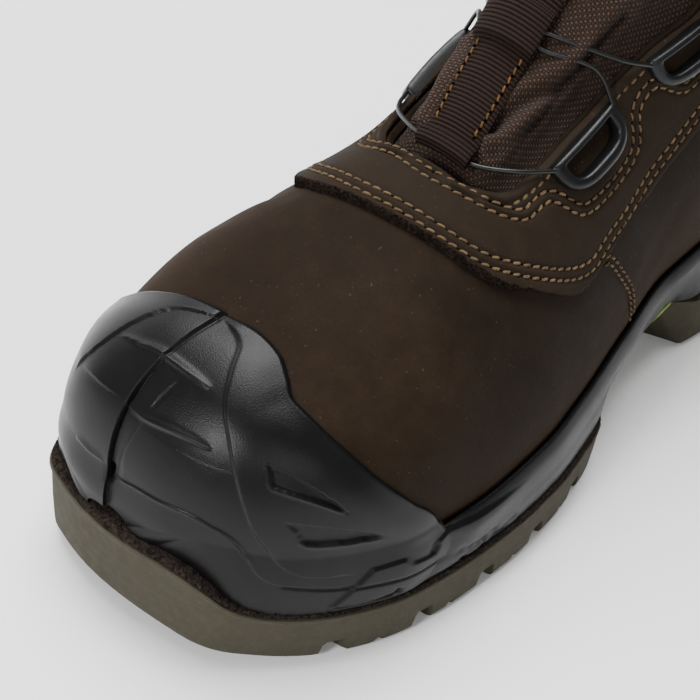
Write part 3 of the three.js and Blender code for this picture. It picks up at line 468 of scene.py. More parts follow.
def upper_grid(rows, columns_side, columns_throat):
    """Sections and girths over the whole upper, its columns following the throat's two edges."""
    base = np.concatenate([np.linspace(0, 7, rows // 2, endpoint=False),
                           np.linspace(7, LAST_END, rows - rows // 2)])
    section = np.repeat(base[:, None], 2 * columns_side + columns_throat, 1)
    inner, outer = throat_edge(base, -1), throat_edge(base, 1)
    spread = np.linspace(0, 1, columns_side)
    girth = np.concatenate([
        -1 + (inner[:, None] + 1) * spread[None, :],
        inner[:, None] + (outer - inner)[:, None] * np.linspace(0, 1, columns_throat + 2)[None, 1:-1],
        outer[:, None] + (1 - outer[:, None]) * spread[None, :],
    ], 1)
    top = collar_section(girth)
    section = np.where(section > 12, 12 + (section - 12) * (top - 12) / (LAST_END - 12), section)
    return section, girth


VAMP_CREASES = [
    # knots as section and girth, depth in mm, half width in mm
    ([(5.2, -0.34), (5.5, -0.12), (5.45, 0.12), (5.1, 0.36)], 0.35, 5.5),
    ([(5.9, -0.40), (5.9, -0.30), (5.75, -0.22)], 0.5, 3.5),
    ([(4.6, 0.30), (4.9, 0.48), (5.3, 0.62)], 0.30, 5.0),
    ([(6.3, 0.42), (6.7, 0.56), (7.5, 0.68)], 0.40, 5.0),
    ([(8.4, 0.66), (9.2, 0.70), (10.2, 0.66)], 0.35, 6.0),
    ([(8.0, -0.60), (9.2, -0.68), (10.4, -0.62)], 0.35, 6.0),
    ([(13.0, 0.62), (13.6, 0.78), (13.7, 0.95)], 0.8, 6.0),
    ([(13.0, -0.62), (13.6, -0.78), (13.7, -0.95)], 0.8, 6.0),
    ([(14.5, 0.58), (15.0, 0.74), (15.1, 0.92)], 0.5, 6.0),
]


def vamp_relief(section, girth):
    """Soft troughs in the leather, in millimetres, worked into the upper and what lies on it."""
    points = last_point(section, girth)
    relief = np.zeros(section.shape)
    for knots, depth, half_width in VAMP_CREASES:
        line = drawn(knots, 14)
        path = last_point(line[:, 0], line[:, 1])
        relief -= depth * np.exp(-(away_from(points, path) / half_width) ** 2)
    return relief


UPPER_ROWS, SIDE_COLUMNS, THROAT_COLUMNS_BETWEEN, MARGIN_COLUMNS = 190, 72, 60, 3
section, girth = upper_grid(UPPER_ROWS, SIDE_COLUMNS, THROAT_COLUMNS_BETWEEN)
relief = vamp_relief(section, girth)
grid = on_last(section, girth, relief)
margin = np.linspace(12, 4, MARGIN_COLUMNS)
turned_in = []
for side, edge in ((-1, grid[:, 0]), (1, grid[:, -1])):
    for depth in (margin if side < 0 else margin[::-1]):
        inwards = side * np.minimum(depth, np.abs(edge[:, 0] - MIDDLE) * 0.8)
        turned_in.append(np.stack([edge[:, 0] - inwards, edge[:, 1], edge[:, 2]], -1))
grid = np.concatenate([np.stack(turned_in[:MARGIN_COLUMNS], 1), grid, np.stack(turned_in[MARGIN_COLUMNS:], 1)], 1)
keep = np.ones((grid.shape[0] - 1, grid.shape[1] - 1), bool)
throat_starts = MARGIN_COLUMNS + SIDE_COLUMNS
keep[UPPER_ROWS // 2:, throat_starts - 1:throat_starts + THROAT_COLUMNS_BETWEEN] = False
keep[section[:-1, 0] > 12.9, :MARGIN_COLUMNS] = False
keep[section[:-1, 0] > 12.9, -MARGIN_COLUMNS:] = False
upper = sheet_mesh("upper_leather", grid, keep)
outer_low = smoothstep(0.60, 0.80, girth) * smoothstep(4.2, 6.5, section)
outer_low *= 1 - 0.45 * smoothstep(10, 13, section)
inner_far = smoothstep(0.10, 0.45, -girth) * (1 - smoothstep(6.5, 8.5, section))
toe_side = 0.5 * smoothstep(0.0, 0.5, 1 - np.abs(section - 4.6) / 1.2) * smoothstep(-0.2, 0.5, np.abs(girth))
burnished = np.zeros(grid.shape[:2])
burnished[:, MARGIN_COLUMNS:-MARGIN_COLUMNS] = np.clip(outer_low + 0.5 * inner_far + 0.4 * toe_side, 0, 1)
cells = np.zeros(grid.shape[:2], bool)
cells[:-1, :-1] |= keep
cells[1:, :-1] |= keep
cells[:-1, 1:] |= keep
cells[1:, 1:] |= keep
give_weight(upper, "burnish", burnished[cells])
thicken(upper, 2.0, bevel=0.5)
paint(upper, nubuck_material("upper_nubuck", 0.10, "burnish"))
finish_piece(upper, "leather", "upper")

# The lace facing: one piece of the same nubuck, laid over the vamp and quarters round the throat
# and sewn down with two double rows of tan thread. Its front edge is cut raw and shows the core.
FACING_ROWS = np.array([
    # throat section, throat girth, edge section, edge girth
    [16.9, 0.370, 16.9, 0.500], [14.0, 0.367, 13.6, 0.510], [12.6, 0.365, 12.0, 0.525],
    [11.7, 0.362, 10.8, 0.525], [10.6, 0.325, 9.85, 0.525], [9.75, 0.300, 9.25, 0.500],
    [8.9, 0.262, 8.5, 0.490], [8.3, 0.237, 8.0, 0.475], [7.6, 0.200, 7.15, 0.387],
    [7.3, 0.162, 6.5, 0.290], [7.0, 0.075, 6.15, 0.137], [7.0, -0.025, 6.0, 0.010],
    [7.0, -0.125, 5.95, -0.113], [7.3, -0.190, 6.05, -0.235], [7.6, -0.220, 6.6, -0.350],
    [8.3, -0.250, 7.6, -0.450], [8.9, -0.265, 8.4, -0.490], [9.75, -0.290, 9.25, -0.500],
    [10.6, -0.315, 9.85, -0.520], [11.7, -0.350, 10.8, -0.520], [12.6, -0.352, 12.0, -0.520],
    [14.0, -0.355, 13.6, -0.500], [16.9, -0.360, 16.9, -0.490],
])
FACING_LIFT, FACING_WALL = 0.35, 2.1
SEAM_OUTER = [(16.6, 0.475), (14.0, 0.485), (12.0, 0.500), (10.75, 0.500), (9.85, 0.500), (8.85, 0.475),
              (8.15, 0.450), (6.8, 0.300), (6.35, 0.187), (6.15, 0.01), (6.15, -0.113), (6.35, -0.25),
              (6.8, -0.345), (7.7, -0.42), (8.5, -0.465), (9.4, -0.475), (10.75, -0.49), (12.0, -0.495),
              (14.0, -0.475), (16.6, -0.465)]
SEAM_INNER = [(16.6, 0.40), (14.0, 0.397), (12.4, 0.40), (11.75, 0.43), (11.3, 0.44), (10.75, 0.437),
              (10.4, 0.375), (10.0, 0.375), (9.7, 0.425), (9.15, 0.412), (8.55, 0.375), (8.15, 0.287),
              (7.5, 0.25), (7.05, 0.162), (6.8, 0.025), (6.9, -0.10), (7.05, -0.225), (7.5, -0.275),
              (8.2, -0.31), (8.6, -0.385), (9.2, -0.415), (9.75, -0.42), (10.1, -0.37), (10.6, -0.385),
              (11.3, -0.43), (12.2, -0.40), (14.0, -0.385), (16.6, -0.39)]


def facing_at(row, share):
    knots = np.arange(len(FACING_ROWS))
    ends = [curve(knots, FACING_ROWS[:, i], row) for i in range(4)]
    return ends[0] + (ends[2] - ends[0]) * share, ends[1] + (ends[3] - ends[1]) * share


def clipped_at_collar(section, girth):
    return np.minimum(section, collar_section(girth) - 0.02)


def seam_paths(knots, gap):
    """Two lines of a double seam on the last, and the run in millimetres along each."""
    line = drawn(knots, 700)
    line[:, 0] = clipped_at_collar(line[:, 0], line[:, 1])
    middle = last_point(line[:, 0], line[:, 1])
    out = last_normal(line[:, 0], line[:, 1])
    run = np.gradient(middle, axis=0)
    run /= np.maximum(np.linalg.norm(run, axis=1, keepdims=True), 1e-9)
    across = np.cross(out, run)
    return middle, out, run, across, gap


shares = np.r_[np.linspace(0, 0.26, 18)[:-1], np.linspace(0.26, 1, 46)]
row, share = np.meshgrid(np.linspace(0, len(FACING_ROWS) - 1, 760), shares, indexing="ij")
section, girth = facing_at(row, share)
points = last_point(section, girth)
width = np.linalg.norm(points[:, -1] - points[:, 0], axis=-1)[:, None]
frayed = np.convolve(np.random.default_rng(2).normal(0, 0.2, len(row)), [0.3, 0.4, 0.3], "same")[:, None]
section, girth = facing_at(row, share + frayed / width * smoothstep(0.93, 1, share))
section = clipped_at_collar(section, girth)
points = last_point(section, girth)
relief = vamp_relief(section, girth) + FACING_LIFT + FACING_WALL
SEAMS = [seam_paths(SEAM_OUTER, 3.0), seam_paths(SEAM_INNER, 2.8)]
for middle, out, run, across, gap in SEAMS:
    for shift in (-gap / 2, gap / 2):
        path = (middle + across * shift)[::3]
        relief -= 0.55 * np.exp(-(away_from(points, path) / 0.75) ** 2)
    relief += 0.22 * np.exp(-(away_from(points, middle[::3]) / 0.6) ** 2)
from_throat = share * width
relief -= 0.9 * np.exp(-(from_throat / 0.8) ** 2) + 0.45 * np.exp(-((from_throat - 3.5) / 0.65) ** 2)
relief += 0.45 * np.exp(-((from_throat - 1.9) / 1.2) ** 2)
facing = sheet_mesh("lace_facing_leather", on_last(section, girth, relief), turned=True)
give_weight(facing, "burnish", 0.15 * smoothstep(0.3, 0.5, np.abs(girth)))
thicken(facing, FACING_WALL)
raw_edge, tree, shader = plain_material("raw_leather_edge", 0.95, specular=0.03)
mottle(tree, shader, 0.7, (0.005, 0.0036, 0.0029), (0.034, 0.024, 0.0185), ends=(0.35, 0.7), detail=4)
bump(tree, shader, noise(tree, place_of(tree), 0.6, 5), 0.9)
paint(facing, nubuck_material("facing_nubuck", 0.22, "burnish"), raw_edge)
facing.modifiers["wall"].material_offset_rim = 1
finish_piece(facing, "leather", "lace_facing")

row, step = np.meshgrid(np.linspace(8.25, 14.6, 900), np.arange(7), indexing="ij")
ends = [last_point(*facing_at(row[:, 0], share)) for share in (0.0, 1.0)]
width = np.linalg.norm(ends[1] - ends[0], axis=-1)[:, None]
fade = smoothstep(8.25, 8.8, row) * smoothstep(14.6, 13.6, row)
frayed = np.random.default_rng(3).normal(0, 1, row.shape)
reach_out = np.array([-0.6, 0.0, 0.3, 0.6, 0.9, 1.1, 1.3])[step] * fade + 0.16 * frayed * (step > 1)
height = np.array([2.0, 2.36, 2.1, 1.55, 0.95, 0.4, -0.2])[step] + 0.12 * frayed * (step > 1)
section, girth = facing_at(row, 1 + reach_out / width)
edge_skin = on_last(section, girth, vamp_relief(section, girth) + height)
frayed_edge = sheet_mesh("facing_raw_edge", edge_skin, turned=True)
paint(frayed_edge, raw_edge)
finish_piece(frayed_edge, "leather")

THREAD_TAN = (0.150, 0.098, 0.050)


def thread_material(name, colour):
    material, tree, shader = plain_material(name, 0.75, specular=0.12)
    where = place_of(tree)
    twist = tree.nodes.new("ShaderNodeTexWave")
    twist.inputs["Scale"].default_value = 900
    twist.inputs["Distortion"].default_value = 3
    tree.links.new(where, twist.inputs["Vector"])
    dark = tuple(c * 0.45 for c in colour)
    tree.links.new(blend_colour(tree, 0.35, ramp(tree, noise(tree, where, 3, 3), (0.3, dark), (0.7, colour)),
                                twist.outputs["Color"], "OVERLAY"), shader.inputs["Base Color"])
    bump(tree, shader, twist.outputs["Fac"], 0.12)
    return material


TAN_THREAD = thread_material("tan_thread", THREAD_TAN)
# painted shade: a near-black colour for the discs that stand for the needle holes
NEEDLE_HOLE_SHADE, tree, shader = plain_material("needle_hole_shade", 1.0, specular=0.0)
shader.inputs["Base Color"].default_value = (0.0016, 0.0011, 0.0008, 1)


def stitches(name, runs, lift, ground, pitch=3.2, share=0.82, thick=0.40, material=None):
    """Stitches along paths: each is a slim thread with pointed ends that dips into the leather, a
    little askew, with a near-black disc of painted shade for the needle hole between it and the next. ground is
    the leather's level."""
    points, faces, slots = [], [], []
    rings, sides = 7, 6
    angles = np.linspace(0, 2 * np.pi, sides, endpoint=False)
    u = np.linspace(-1, 1, rings)
    swell = np.sqrt(np.clip(1 - np.abs(u) ** 2.6, 0, 1))
    for path, out in runs:
        length = np.r_[0, np.cumsum(np.linalg.norm(np.diff(path, axis=0), axis=1))]
        count = int(length[-1] / pitch)
        for k in range(count):
            at = (k + 0.5 + share * u / 2) * pitch
            centre = np.stack([np.interp(at, length, path[:, i]) for i in range(3)], 1)
            normal = np.stack([np.interp(at, length, out[:, i]) for i in range(3)], 1)
            normal /= np.linalg.norm(normal, axis=1, keepdims=True)
            run = np.gradient(centre, axis=0)
            run /= np.linalg.norm(run, axis=1, keepdims=True)
            side = np.cross(normal, run)
            centre = centre + side * u[:, None] * 0.22
            start = len(points)
            for r in range(rings):
                radius = thick * (0.25 + 0.75 * swell[r])
                level = ground - 0.25 + (lift - ground + 0.25) * swell[r]
                for a in angles:
                    over, beyond = level + radius * 0.8 * np.sin(a), radius * 1.1 * np.cos(a)
                    points.append(centre[r] + normal[r] * over + side[r] * beyond)
            for r in range(rings - 1):
                for q in range(sides):
                    a, b = start + r * sides + q, start + r * sides + (q + 1) % sides
                    faces.append((a, b, b + sides, a + sides))
                    slots.append(0)
            # a flat disc painted near black, the needle hole's painted shade
            hole = len(points)
            middle = centre[-1] + run[-1] * (1 - share) / 2 * pitch
            for a in np.linspace(0, 2 * np.pi, 8, endpoint=False):
                rim = 0.5 * (run[-1] * np.cos(a) + side[-1] * np.sin(a))
                points.append(middle + normal[-1] * (ground + 0.06) + rim)
            faces.append(tuple(range(hole, hole + 8)))
            slots.append(1)
    piece = bare_mesh(name, points, faces)
    paint(piece, material or TAN_THREAD, NEEDLE_HOLE_SHADE)
    piece.data.polygons.foreach_set("material_index", slots)
    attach(piece, "root")
    return piece


runs = []
for middle, out, run, across, gap in SEAMS:
    for shift in (-gap / 2, gap / 2):
        runs.append((middle + across * shift, out))
for first, last in ((0.4, 8.55), (15.3, 21.6)):
    lip_row = np.linspace(first, last, 360)
    ends = [last_point(*facing_at(lip_row, share)) for share in (0.0, 1.0)]
    lip_section, lip_girth = facing_at(lip_row, 3.6 / np.linalg.norm(ends[1] - ends[0], axis=1))
    lip_section = clipped_at_collar(lip_section, lip_girth)
    runs.append((last_point(lip_section, lip_girth), last_normal(lip_section, lip_girth)))
stitches("facing_stitches", runs, FACING_LIFT + FACING_WALL - 0.2, FACING_LIFT + FACING_WALL - 0.55)

QUARTER_SEAMS = [[(8.72, 0.515), (8.85, 0.537), (9.1, 0.637), (9.17, 0.687), (9.22, 0.80)],
                 [(8.72, -0.515), (8.85, -0.537), (9.1, -0.637), (9.17, -0.687), (9.22, -0.80)],
                 [(15.6, 0.60), (14.6, 0.66), (13.4, 0.72), (12.6, 0.80)],
                 [(15.6, -0.60), (14.6, -0.66), (13.4, -0.72), (12.6, -0.80)]]
runs = []
for knots in QUARTER_SEAMS:
    middle, out, run, across, gap = seam_paths(knots, 2.1)
    for shift in (-gap / 2, gap / 2):
        runs.append((middle + across * shift, out))
stitches("quarter_stitches", runs, 0.22, 0.0)

# The cup sole and its toe cover: black polyurethane, poured in one with the scuff cap. The cap's
# inner half stands a step proud along the parting line and its face carries raised claw ribs.
SOLE_WIDTH, TREAD, LEATHER_LINE, WAIST_INSET = 112, 17, 33, 8
SOLE_PLAN = np.array([
    # share along the sole, outer and inner half width
    [0, -0.085, -0.100], [0.0066, 0.070, -0.230], [0.0164, 0.180, -0.312], [0.049, 0.295, -0.384],
    [0.105, 0.411, -0.442], [0.171, 0.482, -0.478], [0.237, 0.509, -0.491], [0.303, 0.518, -0.482],
    [0.362, 0.509, -0.455], [0.434, 0.473, -0.402], [0.500, 0.429, -0.357], [0.582, 0.379, -0.317],
    [0.664, 0.357, -0.304], [0.780, 0.366, -0.321], [0.862, 0.348, -0.321], [0.928, 0.295, -0.268],
    [0.970, 0.196, -0.188], [1, 0.014, -0.014],
])
SOLE_EDGE = np.array([
    # share along, under side, seam, outer bumper, inner bumper, waist inset
    [0, 0.36, 1.22, 0.72, 0.72, 0], [0.009, 0.26, 1.20, 0.72, 0.72, 0], [0.018, 0.19, 1.17, 0.58, 0.72, 0],
    [0.030, 0.14, 1.14, 0.27, 0.70, 0], [0.043, 0.11, 1.12, 0.09, 0.68, 0],
    [0.055, 0.08, 1.10, 0.02, 0.66, 0],
    [0.090, 0.03, 1.06, 0, 0.60, 0], [0.115, 0.01, 1.04, 0, 0.10, 0], [0.140, 0, 1.02, 0, 0, 0],
    [0.180, 0, 1.00, 0, 0, 0], [0.440, 0, 1.00, 0, 0, 0], [0.465, 0.08, 1.03, 0, 0, 0.10],
    [0.490, 0.76, 1.12, 0, 0, 0.80], [0.540, 0.88, 1.20, 0, 0, 1], [0.650, 0.88, 1.24, 0, 0, 1],
    [0.666, 0.84, 1.23, 0, 0, 0.94], [0.680, 0.40, 1.22, 0, 0, 0.50], [0.694, 0, 1.20, 0, 0, 0.10],
    [0.730, 0, 1.20, 0, 0, 0], [0.960, 0, 1.20, 0, 0, 0], [0.985, 0.10, 1.20, 0, 0, 0],
    [1, 0.35, 1.20, 0, 0, 0],
])
LINE_ALONG = [0, 0.12, 0.25, 0.39, 0.51, 0.60, 0.69, 0.85, 1]
LINE_HEIGHT = [1.12, 1.04, 1.00, 1.03, 1.085, 1.16, 1.21, 1.26, 1.33]
CAP_GIRTH = [-1, -0.70, -0.50, -0.425, -0.30, -0.204, -0.11, -0.027, 0.047, 0.106, 0.166, 0.228, 0.337,
             0.444, 0.549, 0.65, 0.736, 1]
CAP_SECTION = [5.3, 4.9, 4.05, 3.80, 3.83, 3.881, 3.961, 4.021, 4.08, 4.041, 3.911, 3.791, 3.851,
               3.991, 4.211, 4.562, 5.012, 5.3]
CAP_WALL, CAP_STEP, BUMPER_WALL, CUP_LEDGE = 3.0, 1.3, 3.0, 1.2


def turn_of(along):
    return np.arccos(1 - 2 * np.clip(along, 0, 1))


def plan_x(along, side):
    """Half width of the sole, side 1 outer and -1 inner, as the place across the boot."""
    widths = SOLE_PLAN[:, 1 if side > 0 else 2] * SOLE_WIDTH
    return curve(turn_of(SOLE_PLAN[:, 0]), widths, turn_of(along)) + MIDDLE


def edge_of(along, name):
    column = ["under", "seam", "outer_bumper", "inner_bumper", "inset"].index(name) + 1
    return curve(SOLE_EDGE[:, 0], SOLE_EDGE[:, column], along)


def bumper_of(along, side):
    return edge_of(along, "outer_bumper" if side > 0 else "inner_bumper")


def plan_point(along, side, height, inset):
    middle = (plan_x(along, 1) + plan_x(along, -1)) / 2
    x = plan_x(along, side)
    room = np.abs(x - middle)
    drawn_in = middle + side * np.maximum(room - inset, room * 0.3)
    y = (along - 0.5) * LAST_LENGTH * (1 - 2 * inset / LAST_LENGTH)
    return np.stack(np.broadcast_arrays(drawn_in, y, height), -1)


def seam_height(along):
    return edge_of(along, "seam") * TREAD


def cup_inset(along, side):
    return CUP_LEDGE + BUMPER_WALL * bumper_of(along, side) / 0.72


def line_height(y):
    return curve(LINE_ALONG, LINE_HEIGHT, y / LAST_LENGTH + 0.5) * LEATHER_LINE


def parting(section):
    """Girth share of the parting line, where the cap's inner half stands a step proud."""
    return curve([0.75, 4.03], [-0.036, -0.012], section)


def cap_skin(t, girth, lift=0.0):
    """The cap's face: t runs from the toe to the cap's rear edge."""
    section = t ** 1.2 * curve(CAP_GIRTH, CAP_SECTION, girth)
    side = np.where(girth >= 0, 1, -1)
    proud = CAP_STEP * smoothstep(0.0025, -0.0025, girth - parting(section))
    proud *= 1 - 0.5 * smoothstep(1.8, 3.2, section)
    shoulder_girth = np.clip(girth, -WIDEST, WIDEST)
    shoulder = on_last(section, shoulder_girth, CAP_WALL + proud + lift)
    toe, heel = LAST_ROWS[0, 0], LAST_ROWS[:, 0].max()
    along = np.clip((shoulder[..., 1] / LAST_LENGTH - toe) / (heel - toe), 0, 1)
    foot = np.where((side > 0)[..., None],
                    plan_point(along, 1, seam_height(along), cup_inset(along, 1) - CUP_LEDGE / 2),
                    plan_point(along, -1, seam_height(along), cup_inset(along, -1) - CUP_LEDGE / 2))
    fall = np.clip((np.abs(girth) - WIDEST) / (1 - WIDEST), 0, 1)[..., None]
    out = last_normal(section, shoulder_girth)
    level = out * np.array([1, 1, 0])
    level /= np.maximum(np.linalg.norm(level, axis=-1, keepdims=True), 1e-6)
    bulge = (np.sin(np.pi * fall) * 0.9 + np.asarray(lift, float)[..., None] * fall) * level
    return shoulder + (foot - shoulder) * fall + bulge, section


def beside(points, section, girth, line, offset, reach=14.0):
    """Signed distance of each point from a line on the last, and its share along the line. The sign
    is positive towards the heel for a line that runs outwards."""
    path = on_last(line[:, 0], line[:, 1], offset)
    near = np.all((points > path.min(0) - reach) & (points < path.max(0) + reach), axis=-1)
    flat, s, g = points[near], section[near], girth[near]
    best, share, side = np.full(len(flat), 99.0), np.zeros(len(flat)), np.ones(len(flat))
    runs = np.r_[0, np.cumsum(np.linalg.norm(np.diff(path, axis=0), axis=1))]
    for i, (a, b) in enumerate(zip(path[:-1], path[1:])):
        run = b - a
        t = np.clip((flat - a) @ run / max(run @ run, 1e-9), 0, 1)
        far = np.linalg.norm(flat - a - t[:, None] * run, axis=1)
        closer = far < best
        best = np.where(closer, far, best)
        share = np.where(closer, (runs[i] + t * (runs[i + 1] - runs[i])) / runs[-1], share)
        (s0, g0), (s1, g1) = line[i], line[i + 1]
        side = np.where(closer, np.where((g1 - g0) * (s - s0) >= (s1 - s0) * (g - g0), 1, -1), side)
    signed, along = np.full(section.shape, 99.0), np.zeros(section.shape)
    signed[near], along[near] = best * side, share
    return signed, along


CAP_RIBS = [
    # knots as section and girth, height in mm, width towards the heel and towards the toe, taper
    ([(3.048, -.187), (3.056, -.094), (3.103, -.028), (3.117, .023), (3.148, .099)], 1.0, 1.4, 0.6, 0.6),
    ([(2.441, -.343), (2.246, -.176), (2.201, -.054)], 0.9, 1.1, 0.7, 0.35),
    ([(2.201, -.05), (2.151, .023), (2.323, .134), (2.562, .259)], 0.85, 1.3, 0.6, 0.5),
    ([(1.188, -.452), (.95, -.26), (.885, -.081)], 0.9, 1.4, 0.7, 0.3),
    ([(.70, 0), (.80, .16), (1.165, .421), (1.854, .598), (2.237, .662), (2.517, .723), (2.8, .796),
      (3.087, .833), (3.489, .853), (3.758, .849)], 0.55, 0.6, 0.6, 0.15),
    ([(3.09, .385), (3.03, .45), (3.12, .48), (3.40, .535), (3.72, .598)], 0.5, 0.6, 0.6, 0.15),
    ([(3.22, .675), (3.35, .69), (3.75, .697), (4.15, .702)], 0.45, 0.6, 0.6, 0.15),
]
CAP_STEPS = [
    # knots, rise in mm, side that rises, width of the rise and of its fade
    ([(3.933, -.006), (3.885, .014), (3.773, .048), (3.5, .085), (3.19, .141), (2.965, .212), (2.707, .343),
      (2.588, .496), (2.673, .647), (3.047, .749), (3.431, .798), (3.9, .81)], 0.7, 1, 0.35, 11),
    ([(3.901, -.003), (3.81, -.046), (3.673, -.099), (3.413, -.148), (3.102, -.207), (2.753, -.292),
      (2.384, -.432)], 0.5, -1, 0.5, 9),
    ([(.70, 0.01), (.80, .16), (1.165, .421), (1.854, .598), (2.237, .662), (2.517, .723), (2.8, .796),
      (3.087, .833), (3.489, .853)], 0.45, 1, 0.5, 10),
]
CAP_RECESSES = [[(3.111, .378), (3.021, .458), (3.763, .605)], [(3.09, .60), (3.28, .685), (4.19, .70)]]
SIDE_PANEL = [(-122.4, 20.6), (-116.1, 27.4), (-112.3, 31.0), (-103.7, 31.0), (-101.3, 28.6), (-95.5, 27.4),
              (-93.8, 30.1), (-89.2, 32.0), (-78.7, 30.9), (-61.8, 30.1)]
SIDE_GROOVES = [
    # knots as place along and height in mm, depth, half width
    ([(-132, 29.2), (-123, 27.0), (-116.6, 26.3), (-98.9, 24.3), (-87.7, 23.4), (-78.2, 21.4), (-70, 20.0)],
     0.5, 0.45),
    ([(-121.5, 20.2), (-114, 19.4), (-105.4, 20.4)], 0.8, 0.55), ([(-105.6, 19.4), (-105.3, 21.2)], 0.8, 0.7),
    ([(-84, 18.8), (-79, 20.6), (-71, 22.0)], 0.5, 0.5), ([(-86, 17.6), (-75, 18.0), (-62, 20.2)], 0.6, 0.55),
    ([(-75.8, 19.6), (-75.4, 19.7)], 1.3, 0.55), ([(-94.6, 28.2), (-93.6, 29.6)], 0.9, 0.9),
    ([(-60, 24.6), (-40, 24.9), (-10, 26.5), (20, 31.0)], 0.35, 0.5),
]


def side_relief(points):
    """The sculpted panel, lines and pinhole on the cup's outer side, between toe and waist."""
    relief = np.zeros(points.shape[:-1])
    flat = points[..., 1:]
    near = (points[..., 0] > 10) & (points[..., 1] > -140) & (points[..., 1] < 30) & (points[..., 2] < 42)
    y, z = flat[near][:, 0], flat[near][:, 1]
    panel = np.array(SIDE_PANEL)
    far = away_from(flat[near], panel)
    under = z < np.interp(y, panel[:, 0], panel[:, 1])
    signed = np.where(under & (y > panel[0, 0]), far, -far)
    seat = seam_height(np.clip(y / LAST_LENGTH + 0.5, 0, 1))
    local = 0.75 * smoothstep(-0.3, 0.35, signed) * (1 - smoothstep(-80, -52, y))
    local *= smoothstep(seat + 0.3, seat + 2.2, z)
    for knots, depth, half_width in SIDE_GROOVES:
        far = away_from(flat[near], drawn(knots, 12))
        local -= depth * np.exp(-(far / half_width) ** 2)
    relief[near] = local
    return relief


def run_lengths(points, axis):
    steps = np.linalg.norm(np.diff(points, axis=axis), axis=-1)
    zero = np.zeros_like(np.take(steps, [0], axis=axis))
    return np.concatenate([zero, np.cumsum(steps, axis=axis)], axis=axis)


to_rear = np.unique(np.r_[np.linspace(0.0, 1, 205), np.linspace(0.965, 1, 20)])
round_cap = np.unique(np.r_[np.linspace(-1, 0, 125), np.linspace(0, 1, 215), np.linspace(-0.045, 0.006, 40)])
t, girth = np.meshgrid(to_rear, round_cap, indexing="ij")
skin, section = cap_skin(t, girth)
lift = np.zeros(section.shape)
for knots, height, to_heel, to_toe, taper in CAP_RIBS:
    signed, share = beside(skin, section, girth, drawn(knots, 40), CAP_WALL)
    swell = np.clip(4 * share * (1 - share), 0, 1) ** taper
    wide = np.where(signed > 0, to_heel, to_toe) * (0.45 + 0.55 * swell)
    lift += height * swell * np.exp(-np.abs(signed / wide) ** 2)
for knots, rise, side, edge, fade in CAP_STEPS:
    signed, share = beside(skin, section, girth, drawn(knots, 60), CAP_WALL)
    signed = signed * side
    ends = smoothstep(0, 0.06, share) * smoothstep(1, 0.9, share)
    lift += rise * ends * smoothstep(-edge, edge, signed) * np.exp(-(np.maximum(signed, 0) / fade) ** 2)
for outline in CAP_RECESSES:
    closed = np.array(outline + outline[:1])
    path = on_last(closed[:, 0], closed[:, 1], CAP_WALL)
    signed = away_from(skin, path) * np.where(inside(section, girth, outline), 1, -1)
    lift -= 0.9 * smoothstep(-0.45, 1.0, signed)
across = girth - parting(section)
shallower = smoothstep(0.55, 0.9, section) * (1 - 0.6 * smoothstep(2, 3.4, section))
lift -= 0.8 * np.exp(-((across - 0.0048) / 0.0022) ** 2) * shallower
drop = drawn([(0.86, 0.008), (0.62, 0.010)], 8)
drop_path = on_last(drop[:, 0], drop[:, 1] + parting(drop[:, 0]), CAP_WALL)
lift -= 1.6 * np.exp(-(away_from(skin, drop_path) / 0.9) ** 2)
lower_part = smoothstep(0.6, 0.8, section) * smoothstep(2.1, 1.95, section)
upper_part = smoothstep(2.35, 2.4, section) * smoothstep(3.0, 2.85, section)
lift -= 0.22 * np.exp(-((across - 0.052) / 0.003) ** 2) * (lower_part + upper_part)
lift += side_relief(skin)
at_foot = np.clip(skin[..., 1] / LAST_LENGTH + 0.5, 0, 1)
bumper = np.where(girth >= 0, bumper_of(at_foot, 1), bumper_of(at_foot, -1)) / 0.72
lift += 1.5 * bumper * smoothstep(47, 36, skin[..., 2])
rear = run_lengths(skin, 0)
rear = rear[-1] - rear
free = smoothstep(0.78, 0.72, np.abs(girth))
lift -= free * (1.5 * np.exp(-(rear / 7) ** 2) + 2.1 * np.exp(-(rear / 0.75) ** 2))
lift -= (1 - free) * 1.5 * smoothstep(17, 0, rear)
skin, section = cap_skin(t, girth, lift)
cap = sheet_mesh("toe_cover_skin", skin)

# Near black, with a fine even grain, and softer gloss where it is smeared.
poured, tree, shader = plain_material("black_polyurethane", 0.35, specular=0.15)
mottle(tree, shader, 22, (0.0032, 0.0032, 0.0034), (0.0052, 0.0052, 0.0056), detail=4, roughness=0.6)
mottle(tree, shader, 5, 0.27, 0.36, ends=(0.25, 0.75), detail=4, roughness=0.65, socket="Roughness")
bump(tree, shader, noise(tree, place_of(tree), 0.36, 2, 0.5), 0.065)
paint(cap, poured)
finish_piece(cap, "black_sole", "cup_sole_toe_cover")


def leather_girth(section, side):
    """Girth share where the leather leaves the cup."""
    low, high = np.full(np.shape(section), 0.4), np.ones(np.shape(section))
    for _ in range(30):
        middle = (low + high) / 2
        point = last_point(section, side * middle)
        above = point[..., 2] > line_height(point[..., 1])
        low, high = np.where(above, middle, low), np.where(above, high, middle)
    return side * (low + high) / 2


def cup_profile(section, along, side):
    """Knots of the cup's wall at each station, from the sole's seam up to the lip on the leather."""
    waist = WAIST_INSET * edge_of(along, "inset")
    emerge = 0.52 * smoothstep(4.0, 4.5, section) + 0.48 * smoothstep(4.9, 5.6, section)
    seam = seam_height(along)
    inset = cup_inset(along, side)
    girth = leather_girth(section, side)

    def on_line(offset, drop):
        point = on_last(section, girth, 1.5 + (offset - 1.5) * emerge)
        point[..., 2] = line_height(point[..., 1]) - drop
        return point

    return [plan_point(along, side, seam - 0.6, inset + 0.5 * waist + 1.5),
            plan_point(along, side, seam + 0.1, inset + 0.5 * waist + 0.1),
            plan_point(along, side, seam + 0.3 * TREAD, inset + 0.2 * waist + 0.2),
            on_line(4.0, 5.0), on_line(3.3, 2.6), on_line(1.7, 0.15), on_line(0.6, 0.3), on_line(-0.6, 2.0)]


